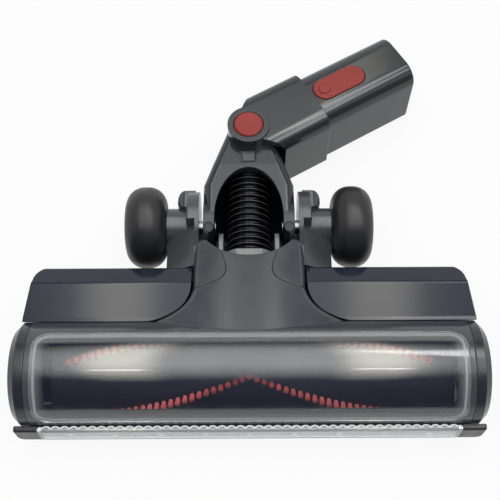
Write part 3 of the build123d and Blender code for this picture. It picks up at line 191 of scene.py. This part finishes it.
TUBE_COLOUR, SHEET_COLOUR, DIM_COLOUR = (1.0, 0.97, 0.88), (0.97, 0.98, 1.0), (0.63, 0.69, 1.0)
CARD_R, CARD_HALF, CARD_STEPS = 1.3, 3.0, 24
CARD_LOW, CARD_HIGH = 0.2, 53.0
CARD_NEAR_Y, CARD_NEAR_Z = -0.27, 0.001
CARD_SCALE = 1.5
CARD_TONES = ((0.13, 0.145, 0.22), (0.17, 0.185, 0.27))
ROOM_COLOUR = (0.95, 0.98, 1.0)
ROOM_STRENGTH = 0.55


class Graph:
    """Node tree of a material or of the world, with short forms for the nodes used here."""

    def __init__(self, tree):
        tree.nodes.clear()
        self.make = tree.nodes.new
        self.link = tree.links.new

    def add(self, kind, inputs=None, **settings):
        """Adds a node; each input follows a socket or keeps a number or a colour."""
        node = self.make(kind)
        for name, value in settings.items():
            setattr(node, name, value)
        for name, value in (inputs or {}).items():
            socket = node.inputs[name]
            if isinstance(value, bpy.types.NodeSocket):
                self.link(value, socket)
            elif socket.type == "RGBA":
                socket.default_value = (*value, 1)
            else:
                socket.default_value = value
        return node

    def calc(self, operation, *values):
        """One math node over sockets and numbers."""
        return self.add("ShaderNodeMath", dict(enumerate(values)), operation=operation).outputs[0]

    def product(self, first, *others):
        """All values multiplied."""
        for value in others:
            first = self.calc("MULTIPLY", first, value)
        return first

    def distance(self, first, second):
        """Length of two legs at right angles."""
        squares = [self.calc("POWER", leg, 2) for leg in (first, second)]
        return self.calc("SQRT", self.calc("ADD", *squares))

    def off(self, source, middle):
        """How far a value lies from another, on either side."""
        return self.calc("ABSOLUTE", self.calc("SUBTRACT", source, middle))

    def map_range(self, source, span, levels, **settings):
        """Maps a span of values to a span of levels."""
        inputs = {
            "Value": source, "From Min": span[0], "From Max": span[1],
            "To Min": levels[0], "To Max": levels[1],
        }
        return self.add("ShaderNodeMapRange", inputs, **settings).outputs["Result"]

    def spread(self, source, low, high):
        """Maps what noise mostly gives to a range."""
        return self.map_range(source, (NOISE_LOW, NOISE_HIGH), (low, high))

    def ease(self, source, edge, levels=RISING):
        """Smooth step over an edge, from one level to another."""
        return self.map_range(source, edge, levels, interpolation_type="SMOOTHSTEP")

    def soft_band(self, source, rise, fall):
        """1 between a rising and a falling edge, else 0."""
        return self.product(self.ease(source, rise), self.ease(source, fall, FALLING))

    def noise(self, scale, detail=3.0):
        """Noise over the piece's own coordinates."""
        coords = self.add("ShaderNodeTexCoord").outputs["Object"]
        inputs = {"Vector": coords, "Scale": scale, "Detail": detail}
        return self.add("ShaderNodeTexNoise", inputs).outputs["Fac"]

    def place(self, axes):
        """The named coordinates of a point on the piece, in metres."""
        coords = self.add("ShaderNodeTexCoord").outputs["Object"]
        split = self.add("ShaderNodeSeparateXYZ", {"Vector": coords})
        return [split.outputs[axis] for axis in axes]

    def tint(self, share, first, second):
        """Colour between two others."""
        inputs = {"Factor": share, "A": first, "B": second}
        return self.add("ShaderNodeMix", inputs, data_type="RGBA").outputs["Result"]

    def rounded(self, radius):
        """Normal that softens edges, with the radius in millimetres."""
        node = self.add("ShaderNodeBevel", {"Radius": radius * MM}, samples=BEVEL_SAMPLES)
        return node.outputs["Normal"]

    def either(self, share, first, second):
        """Shader between two others."""
        inputs = {"Fac": share, 1: first, 2: second}
        return self.add("ShaderNodeMixShader", inputs).outputs["Shader"]

    def background_rays(self):
        """1 for rays that see, mirror or look through to the background, else 0."""
        path = self.add("ShaderNodeLightPath").outputs
        seen = self.calc("MAXIMUM", path["Is Camera Ray"], path["Is Glossy Ray"])
        return self.calc("MAXIMUM", seen, path["Is Transmission Ray"])

    def end(self, surface, kind="ShaderNodeOutputMaterial"):
        """Closes the tree with its output."""
        self.add(kind, {"Surface": surface})


def new_material(name):
    """Empty node material with the graph that fills it."""
    mat = bpy.data.materials.new(name)
    mat.use_nodes = True
    return mat, Graph(mat.node_tree)


def inside_casing(g):
    """1 within the front casing, under the window, where the moulding gets painted shade, else 0."""
    x, y, z = g.place("XYZ")
    back = g.calc("SUBTRACT", y, BRUSH_Y * MM)
    above = g.calc("SUBTRACT", z, SHELL_Z * MM)
    within = g.calc("LESS_THAN", g.distance(back, above), WINDOW_BED_R * MM)
    return g.product(within, g.calc("LESS_THAN", g.calc("ABSOLUTE", x), CASING_HALF * MM))


def inside_neck(g):
    """1 within the neck's hood, round the hose, where the moulding gets painted shade, else 0."""
    x, z = g.place("XZ")
    return g.product(
        g.calc("LESS_THAN", g.calc("ABSOLUTE", x), HOOD_HALF * MM),
        g.calc("GREATER_THAN", z, HOOD_LOW * MM),
        g.calc("LESS_THAN", z, HOOD_HIGH * MM),
    )


def pad_highlight(g):
    """Share of the painted highlight on the small pad, the only part above the neck's top, standing in for
    the light its top catches.
    """
    z, = g.place("Z")
    edge = ((NECK_TOP + PAD_LOW) * MM, (NECK_TOP + PAD_HIGH) * MM)
    return g.ease(z, edge, (0.0, PAD_HIGHLIGHT))


def crest_highlight(g):
    """Share of the painted highlight on the hose's crests, from the value kept on its mesh."""
    ridge = g.add("ShaderNodeAttribute", attribute_name=RIDGE)
    return g.ease(ridge.outputs["Fac"], CREST_EDGE, (0.0, CREST_HIGHLIGHT))


def moulded(
    name, colour, rough, grain=900.0, bump=0.04, edge=0.5, metallic=0.0, shine=0.5,
    painted_shade=None, painted_highlight=None,
):
    """Moulded or metal surface: slight tone drift, uneven gloss, fine grain and softened edges, with
    painted shade in recesses and painted highlights where asked.
    """
    mat, g = new_material(name)
    dark = tuple(c * (1 - TONE_VARY) for c in colour)
    light = tuple(min(1.0, c * (1 + TONE_VARY)) for c in colour)
    tone = g.tint(g.spread(g.noise(TONE_SCALE), 0, 1), dark, light)
    # Painted shade: a dark colour and lost shine in recesses stand in for the shade that falls there
    if painted_shade:
        shade_share = painted_shade(g)
        tone = g.tint(shade_share, tone, PAINTED_SHADE_COLOUR)
        shine = g.product(g.calc("SUBTRACT", 1.0, shade_share), shine)
    # Painted highlight: a paler colour where a part's top or crest catches light
    if painted_highlight:
        tone = g.tint(painted_highlight(g), tone, HIGHLIGHT_COLOUR)
    haze = g.noise(GLOSS_SCALE, GLOSS_DETAIL)
    relief = g.add("ShaderNodeBump", {
        "Strength": bump,
        "Distance": GRAIN_DEPTH * MM,
        "Height": g.noise(grain, GRAIN_DETAIL),
        "Normal": g.rounded(edge),
    })
    shader = g.add("ShaderNodeBsdfPrincipled", {
        "Base Color": tone,
        "Metallic": metallic,
        "Roughness": g.spread(haze, rough * GLOSS_LOW, rough * GLOSS_HIGH),
        "Specular IOR Level": shine,
        "Normal": relief.outputs["Normal"],
    })
    g.end(shader.outputs["BSDF"])
    return mat


def from_window_edge(g):
    """Distance in metres from the pane's rounded outline, measured over its surface."""
    x, y, z = g.place("XYZ")
    ahead = g.calc("SUBTRACT", BRUSH_Y * MM, y)
    above = g.calc("SUBTRACT", z, SHELL_Z * MM)
    angle = g.calc("ARCTAN2", above, ahead)
    low = g.calc("SUBTRACT", angle, WINDOW_START)
    high = g.calc("SUBTRACT", WINDOW_END, angle)
    along = g.product(g.calc("MINIMUM", low, high), WINDOW_R * MM)
    across = g.calc("SUBTRACT", WINDOW_HALF * MM, g.calc("ABSOLUTE", x))
    corner = WINDOW_CORNER * MM
    legs = [
        g.calc("MAXIMUM", g.calc("SUBTRACT", corner, inset), 0.0) for inset in (along, across)
    ]
    return g.calc("SUBTRACT", corner, g.distance(*legs))


def window_rim(g):
    """Share of the pane's rim drawn in opaque pale grey: a broad milky haze fading inwards from the edge,
    and a fine painted highlight line just inside it.
    """
    inset = from_window_edge(g)
    haze = g.ease(inset, (RIM_HAZE_NEAR * MM, RIM_HAZE_FAR * MM), (RIM_HAZE, 0.0))
    off_line = g.off(inset, RIM_LINE_INSET * MM)
    line = g.ease(off_line, (RIM_LINE_NEAR * MM, RIM_LINE_FAR * MM), (RIM_LINE, 0.0))
    return g.calc("ADD", haze, line)


def flute_highlight(g):
    """1 on a thin line along the half-round flutes of the lens, painted white as the highlight the flutes
    refract and reflect, else 0.
    """
    x, y, z = g.place("XYZ")
    half = FLUTE_PITCH / 2 * MM
    along = g.calc("FLOORED_MODULO", g.calc("ADD", x, half), FLUTE_PITCH * MM)
    along = g.calc("SUBTRACT", along, half)
    back = g.calc("SUBTRACT", y, FLUTE_Y * MM)
    return g.product(
        g.calc("GREATER_THAN", g.distance(along, back), (FLUTE_R - FLUTE_LINE) * MM),
        g.calc("GREATER_THAN", back, FLUTE_BACK * MM),
        g.calc("GREATER_THAN", z, FLUTE_Z * MM),
    )


def clear(name, colour, rough, haze_and_highlight, haze_and_highlight_colour):
    """Clear plastic with an opaque share that paints rim haze and highlight lines; shadow rays pass, so
    what is behind it stays lit.
    """
    mat, g = new_material(name)
    paler = tuple(min(1.0, c * CLEAR_VARY) for c in colour)
    haze = g.noise(CLEAR_GLOSS_SCALE, GLOSS_DETAIL)
    shader = g.add("ShaderNodeBsdfPrincipled", {
        "Base Color": g.tint(g.noise(CLEAR_TONE_SCALE), colour, paler),
        "Roughness": g.spread(haze, rough * CLEAR_GLOSS_LOW, rough * CLEAR_GLOSS_HIGH),
        "Transmission Weight": 1.0,
        "IOR": CLEAR_IOR,
        "Normal": g.rounded(CLEAR_EDGE),
    })
    opaque = g.add("ShaderNodeBsdfPrincipled", {
        "Base Color": haze_and_highlight_colour,
        "Roughness": OPAQUE_ROUGH,
    })
    # The opaque share is the rim haze and the painted highlight lines
    body = g.either(haze_and_highlight(g), shader.outputs["BSDF"], opaque.outputs["BSDF"])
    passing = g.add("ShaderNodeBsdfTransparent", {"Color": CLEAR_SHADOW})
    shadow = g.add("ShaderNodeLightPath").outputs["Is Shadow Ray"]
    g.end(g.either(shadow, body, passing.outputs["BSDF"]))
    return mat


# Painted shade inside the casing under the window, on the front shell and the yoke
GRAPHITE = moulded(
    "graphite_plastic", (0.057, 0.061, 0.071), 0.19, edge=0.6, painted_shade=inside_casing,
)
# Painted shade inside the neck's hood, and a painted highlight on the pad's top
NECK = moulded(
    "neck_plastic", (0.022, 0.026, 0.03), 0.16, edge=1.0, shine=0.4, painted_shade=inside_neck, painted_highlight=pad_highlight,
)
SMOKE = moulded("smoke_plastic", (0.021, 0.025, 0.028), 0.1, edge=0.8)
DARK = moulded("dark_plastic", (0.013, 0.017, 0.032), 0.08, edge=0.6, shine=0.3)
# Painted shade inside the casing, on the end caps
CAP = moulded("cap_plastic", (0.019, 0.022, 0.027), 0.22, edge=0.8, painted_shade=inside_casing)
BLACK = moulded("black_plastic", (0.014, 0.014, 0.016), 0.35)
ROLLER = moulded("roller_plastic", (0.007, 0.008, 0.014), 0.55, shine=0.2)
GREY = moulded("grey_plastic", (0.2, 0.205, 0.205), 0.4)
RED = moulded("red_plastic", (0.25, 0.027, 0.023), 0.42, grain=1400.0, bump=0.1, shine=0.3)
BRISTLE = moulded("red_bristle", (0.74, 0.15, 0.14), 0.5, edge=0.1)
TYRE = moulded(
    "wheel_rubber", (0.012, 0.012, 0.013), 0.4, grain=1600.0, bump=0.12, edge=0.8, shine=0.4,
)
# The hose gets a painted highlight on its crests
RUBBER = moulded(
    "black_rubber", (0.002, 0.002, 0.003), 0.2, bump=0.02, shine=0.25, painted_highlight=crest_highlight,
)
STEEL = moulded("steel", (0.42, 0.43, 0.44), 0.3, metallic=1.0, edge=0.15)
SCREW = moulded("dark_steel", (0.06, 0.06, 0.065), 0.3, metallic=1.0, edge=0.2)
BRASS = moulded("brass_contact", (0.75, 0.55, 0.25), 0.25, metallic=1.0, edge=0.15)
BOARD = moulded("circuit_board", (0.02, 0.14, 0.06), 0.4, edge=0.1)
LAMP_BOARD = moulded("lamp_board", (0.35, 0.36, 0.36), 0.4, edge=0.1)
LAMP = moulded("lamp_white", (0.85, 0.85, 0.8), 0.3, edge=0.1)
FELT = moulded("felt", (0.03, 0.03, 0.033), 0.95, grain=700.0, bump=0.9, edge=0.1)
# The window's rim and the lens's flutes get painted highlight lines
WINDOW = clear("clear_plastic", (0.93, 0.95, 0.97), 0.02, window_rim, (0.42, 0.43, 0.43))
LENS = clear("lens_plastic", (0.92, 0.93, 0.94), 0.09, flute_highlight, (0.95, 0.95, 0.95))

MATERIALS = {
    GRAPHITE: ["front_shell", "yoke"],
    NECK: ["lower_neck"],
    SMOKE: ["elbow", "wand_tube"],
    DARK: ["left_wing", "right_wing"],
    ROLLER: ["brush_core"],
    CAP: ["left_end_cap", "right_end_cap"],
    WINDOW: ["window"],
    LENS: ["light_lens"],
    BLACK: [
        "sole_plate", "bumper", "left_wheel_hub", "right_wheel_hub", "brush_pulley", "motor_pulley",
        "air_duct", "brush_lock", "contact_block",
    ],
    GREY: ["hose_collar", "hose_cuff"],
    RED: ["pivot_cap", "release_button"],
    BRISTLE: ["brush_tufts"],
    TYRE: ["left_tyre", "right_tyre"],
    RUBBER: ["drive_belt", "hose"],
    STEEL: [
        "left_axle", "right_axle", "left_axle_clip", "right_axle_clip",
        "left_bearing", "right_bearing", "brush_shaft", "motor_shaft", "motor", "upper_swivel_pin",
        "lower_swivel_pin", "latch_spring",
    ],
    SCREW: ["sole_screws", "foot_screws"],
    BRASS: ["contacts"],
    BOARD: ["control_board"],
    LAMP_BOARD: ["led_board"],
    LAMP: ["leds"],
    FELT: ["felt_strip"],
}
for material, names in MATERIALS.items():
    for name in names:
        mesh = nodes[name].data
        mesh.materials.clear()
        mesh.materials.append(material)


def add_mesh(name, bm, material, smooth=True):
    """Turns a bmesh into an object with one material."""
    mesh = bpy.data.meshes.new(name)
    bmesh.ops.recalc_face_normals(bm, faces=bm.faces)
    bm.to_mesh(mesh)
    bm.free()
    mesh.materials.append(material)
    if smooth:
        mesh.polygons.foreach_set("use_smooth", [True] * len(mesh.polygons))
    obj = bpy.data.objects.new(name, mesh)
    scene.collection.objects.link(obj)
    return obj


def join_rings(bm, rings):
    """Faces between each ring of vertices and the next."""
    for near, far in zip(rings, rings[1:]):
        count = len(near)
        for k in range(count):
            j = (k + 1) % count
            bm.faces.new((near[k], near[j], far[j], far[k]))


# Camera
camera_data = bpy.data.cameras.new("camera")
camera_data.lens = CAMERA_LENS
camera_data.sensor_width = CAMERA_SENSOR
camera = bpy.data.objects.new("camera", camera_data)
camera.location = CAMERA_PLACE
camera.rotation_euler = (math.radians(CAMERA_PITCH), 0, 0)
camera.rotation_euler.rotate_axis("Z", math.radians(CAMERA_ROLL))
scene.collection.objects.link(camera)
scene.camera = camera


# Hose: a corrugated tube along the straight, the bend and the lead into the elbow
def hose_frame(s):
    """Centre and direction of the hose at a distance along it, in millimetres."""
    if s < HOSE_STRAIGHT:
        return Vector((0, HOSE_START + s, HOSE_Z)), Vector((0, 1, 0))
    turn = min((s - HOSE_STRAIGHT) / HOSE_BEND_R, REST_SWIVEL)
    x = HOSE_BEND_R * (1 - math.cos(turn))
    y = HOSE_START + HOSE_STRAIGHT + HOSE_BEND_R * math.sin(turn)
    ahead = Vector((math.sin(turn), math.cos(turn), 0))
    extra = max(0.0, s - HOSE_STRAIGHT - HOSE_ARC)
    return Vector((x, y, HOSE_Z)) + ahead * extra, ahead


def hose_piece(name, s0, s1, ridges_from):
    """One length of hose: rounded ridges outside, plain bore inside."""
    sections = []
    count = int((s1 - s0) / HOSE_PITCH * RIDGE_STEPS)
    for s in [s0 + (s1 - s0) * i / count for i in range(count + 1)]:
        wave = 0.5 - 0.5 * math.cos(2 * math.pi * s / HOSE_PITCH)
        if s <= ridges_from:
            wave = 0.0
        radius = HOSE_VALLEY + (HOSE_R - HOSE_VALLEY) * wave ** RIDGE_POWER
        sections.append((s, radius, wave))
    for s in (s1, s0):
        sections.append((s, HOSE_BORE, 0.0))
    bm = bmesh.new()
    rings = []
    for s, radius, wave in sections:
        centre, ahead = hose_frame(s)
        side = Vector((ahead.y, -ahead.x, 0))
        ring = []
        for k in range(HOSE_SIDES):
            a = 2 * math.pi * k / HOSE_SIDES
            up = Vector((0, 0, radius * math.sin(a)))
            ring.append(bm.verts.new((centre + side * (radius * math.cos(a)) + up) * MM))
        rings.append(ring)
    join_rings(bm, rings + rings[:1])
    hose = add_mesh(name, bm, RUBBER)
    # The wave is kept on the mesh for the painted highlight on the crests
    ridge = hose.data.attributes.new(RIDGE, "FLOAT", "POINT")
    waves = [wave for s, radius, wave in sections for k in range(HOSE_SIDES)]
    ridge.data.foreach_set("value", waves)
    return hose


front_hose = hose_piece("hose_front", 0.0, HOSE_SPLIT, HOSE_PLAIN)
rear_hose = hose_piece("hose_rear", HOSE_SPLIT, HOSE_END, HOSE_SPLIT)
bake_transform(front_hose)
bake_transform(rear_hose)
for piece in (front_hose, rear_hose):
    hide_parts("hose")


# Bristles: each tuft is a bundle of fine filaments that splay a little towards their tips
def bundle_places(spacing):
    """Centres of a close-packed bundle: one filament with two rings round it."""
    places = [(0.0, 0.0)]
    for ring, count in BUNDLE_RINGS:
        for k in range(count):
            angle = 2 * math.pi * k / count
            places.append((ring * spacing * math.cos(angle), ring * spacing * math.sin(angle)))
    return places


def add_filament(bm, turn, root, tip):
    """One filament: a three-sided spike through a root, a middle and a tip point."""
    lean = Vector((tip.x - root.x, tip.y - root.y, 0))
    middle = root.lerp(tip, FILAMENT_MIDDLE) + lean * FILAMENT_BOW
    sections = (
        (root, FILAMENT_R), (middle, FILAMENT_R), (tip, FILAMENT_R * FILAMENT_TAPER),
    )
    angles = [2 * math.pi * k / FILAMENT_SIDES for k in range(FILAMENT_SIDES)]
    rings = []
    for centre, radius in sections:
        ring = [centre + Vector((radius * math.cos(a), radius * math.sin(a), 0)) for a in angles]
        rings.append([bm.verts.new((turn @ v) * MM) for v in ring])
    join_rings(bm, rings)
    bm.faces.new(rings[-1])
    bm.faces.new(reversed(rings[0]))


def make_bristles():
    """All tufts of the roller, in the chevron that the solids have."""
    draw = random.Random(BRISTLE_SEED)
    bm = bmesh.new()
    for row in range(TUFT_ROWS):
        for i in range(-TUFT_HALF_ROW, TUFT_HALF_ROW + 1):
            up = CHEVRON_DEG - CHEVRON_FALL * abs(i) / TUFT_HALF_ROW + row * 360 / TUFT_ROWS
            lift = Matrix.Rotation(math.radians(90 - up), 4, "X")
            turn = Matrix.Translation((i * TUFT_PITCH, BRUSH_Y, BRUSH_Z)) @ lift
            for x, y in bundle_places(FILAMENT_GAP):
                splay = draw.uniform(*FILAMENT_SPLAY)
                root = Vector((x, y, CORE_R - FILAMENT_SUNK))
                wear = draw.uniform(0.0, FILAMENT_WEAR)
                tip = Vector((x * splay, y * splay, BRUSH_R - wear))
                add_filament(bm, turn, root, tip)
    return add_mesh("bristles", bm, BRISTLE, smooth=False)


bristles = make_bristles()
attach(bristles, "brush")
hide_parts("brush_tufts")


# Leaf spring under the button, a bowed strip that moves with the upper neck
def make_leaf_spring():
    """Bowed steel strip with narrowed ends."""
    turn = Matrix.Translation((0, PIVOT_Y, 0)) @ Matrix.Rotation(-REST_SWIVEL, 4, "Z")
    bm = bmesh.new()
    rings = []
    for k in range(SPRING_STEPS + 1):
        share = 2 * k / SPRING_STEPS - 1
        half = SPRING_HALF_W * (1 - SPRING_NARROW * abs(share) ** 3)
        low = SPRING_LOW + SPRING_RISE * (1 - share ** 2)
        high = low + SPRING_THICK
        s = SPRING_S + SPRING_HALF_LENGTH * share
        corners = [(-half, low), (half, low), (half, high), (-half, high)]
        rings.append([bm.verts.new((turn @ Vector((x, s, z))) * MM) for x, z in corners])
    join_rings(bm, rings)
    bm.faces.new(rings[0])
    bm.faces.new(reversed(rings[-1]))
    return add_mesh("leaf_spring", bm, STEEL, smooth=False)


leaf_spring = make_leaf_spring()
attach(leaf_spring, "upper_neck")
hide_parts("latch_spring")
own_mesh(leaf_spring)


# Floor, light and world
def floor_material():
    """White floor that keeps the shadow near the object and stays dark right under the head."""
    mat, g = new_material("floor_white")
    x, y = g.place("XY")
    side = g.calc("ABSOLUTE", x)
    under_x = g.ease(side, UNDER_X, FALLING)
    under_y = g.ease(g.off(y, HEAD_MID_Y * MM), UNDER_Y, FALLING)
    open_floor = g.calc("SUBTRACT", 1.0, g.product(under_x, under_y))
    reach = g.calc("MAXIMUM", side, g.calc("ABSOLUTE", y))
    whiteness = g.ease(reach, FLOOR_FADE, FLOOR_WHITENESS)
    share = g.product(g.background_rays(), open_floor, whiteness)
    tone = g.tint(g.noise(FLOOR_SCALE), *FLOOR_TONES)
    surface = g.add("ShaderNodeBsdfDiffuse", {"Color": tone})
    glow = g.add("ShaderNodeEmission", {"Color": WHITE})
    g.end(g.either(share, surface.outputs["BSDF"], glow.outputs["Emission"]))
    return mat


bm = bmesh.new()
bmesh.ops.create_grid(bm, x_segments=FLOOR_CELLS, y_segments=FLOOR_CELLS, size=FLOOR_SIZE)
floor = add_mesh("floor", bm, floor_material(), smooth=False)
floor.location = (0, 0, -FLOOR_DROP)


def overhead_lamp(name, x):
    """Wide soft lamp above the object; the panel gives its mirror image."""
    data = bpy.data.lights.new(name, "AREA")
    data.shape = "RECTANGLE"
    data.size = LAMP_WIDTH
    data.size_y = LAMP_DEPTH
    data.energy = LAMP_ENERGY
    data.color = LAMP_COLOUR
    lamp = bpy.data.objects.new(name, data)
    lamp.location = (x, LAMP_Y, LAMP_Z)
    lamp.visible_glossy = False
    scene.collection.objects.link(lamp)


def mirror_only(card):
    """Keeps a studio card out of sight but for reflections and what is seen through glass."""
    card.visible_camera = False
    card.visible_diffuse = False
    card.visible_shadow = False


def panel_material():
    """Soft ceiling light with two tubes and a softbox on the right, dim navy at its front."""
    mat, g = new_material("panel_light")
    x, y = g.place("XY")
    side = g.calc("ABSOLUTE", x)
    off_tube = g.off(side, TUBE_X)
    tube = g.ease(off_tube, TUBE_EDGE, (TUBE_GLOW, 0.0))
    sheet = g.ease(side, SHEET_EDGE, SHEET_LEVELS)
    near = g.ease(y, FRONT_FADE, FRONT_LEVELS)
    far = g.ease(y, BACK_FADE, BACK_LEVELS)
    ceiling = g.product(g.calc("ADD", tube, sheet), near, far)
    line = g.ease(g.off(y, LINE_Y), LINE_EDGE, (LINE_GLOW, 0.0))
    line = g.product(line, g.ease(off_tube, LINE_ENDS, FALLING))
    slant = g.calc("ADD", x, g.product(y, BOX_SLANT))
    box_x = g.product(g.ease(slant, BOX_LEFT), g.ease(x, BOX_RIGHT, FALLING))
    box = g.product(box_x, g.soft_band(y, BOX_NEAR, BOX_FAR), BOX_GLOW)
    beside = g.product(
        g.soft_band(x, SIDE_LEFT, SIDE_RIGHT), g.soft_band(y, SIDE_NEAR, SIDE_FAR), SIDE_GLOW,
    )
    level = g.calc("ADD", ceiling, g.calc("MAXIMUM", box, beside))
    level = g.calc("MAXIMUM", g.calc("ADD", level, line), PANEL_LEAST)
    lit = g.tint(g.ease(off_tube, WARM_EDGE), TUBE_COLOUR, SHEET_COLOUR)
    colour = g.tint(g.ease(level, (PANEL_LEAST, 1.0)), DIM_COLOUR, lit)
    glow = g.add("ShaderNodeEmission", {"Color": colour, "Strength": level})
    g.end(glow.outputs["Emission"])
    return mat


def make_panel():
    """The ceiling light as reflections see it."""
    bm = bmesh.new()
    corners = [
        (-PANEL_HALF, PANEL_FRONT), (PANEL_HALF, PANEL_FRONT),
        (PANEL_HALF, PANEL_BACK), (-PANEL_HALF, PANEL_BACK),
    ]
    bm.faces.new([bm.verts.new((x, y, LAMP_Z)) for x, y in corners])
    mirror_only(add_mesh("light_panel", bm, panel_material(), smooth=False))


def make_dark_card():
    """Dark card that lies before the object and curves up to the panel."""
    mat, g = new_material("card_dark")
    glow = g.add("ShaderNodeEmission", {"Color": g.tint(g.noise(CARD_SCALE), *CARD_TONES)})
    g.end(glow.outputs["Emission"])
    profile = [(CARD_NEAR_Y, CARD_NEAR_Z)]
    for k in range(CARD_STEPS + 1):
        rise = math.radians(CARD_LOW + (CARD_HIGH - CARD_LOW) * k / CARD_STEPS)
        profile.append((-CARD_R * math.cos(rise), CARD_R * math.sin(rise)))
    bm = bmesh.new()
    rows = [[bm.verts.new((x, y, z)) for x in (-CARD_HALF, CARD_HALF)] for y, z in profile]
    for low, high in zip(rows, rows[1:]):
        bm.faces.new((low[0], low[1], high[1], high[0]))
    mirror_only(add_mesh("dark_card", bm, mat))


overhead_lamp("left_lamp", -LAMP_X)
overhead_lamp("right_lamp", LAMP_X)
make_panel()
make_dark_card()

world = bpy.data.worlds.new("studio")
scene.world = world
world.use_nodes = True
sky = Graph(world.node_tree)
room = sky.add("ShaderNodeBackground", {"Color": ROOM_COLOUR, "Strength": ROOM_STRENGTH})
backdrop = sky.add("ShaderNodeBackground", {"Color": WHITE})
surface = sky.either(
    sky.background_rays(), room.outputs["Background"], backdrop.outputs["Background"],
)
sky.end(surface, "ShaderNodeOutputWorld")

scene.view_settings.view_transform = "Standard"
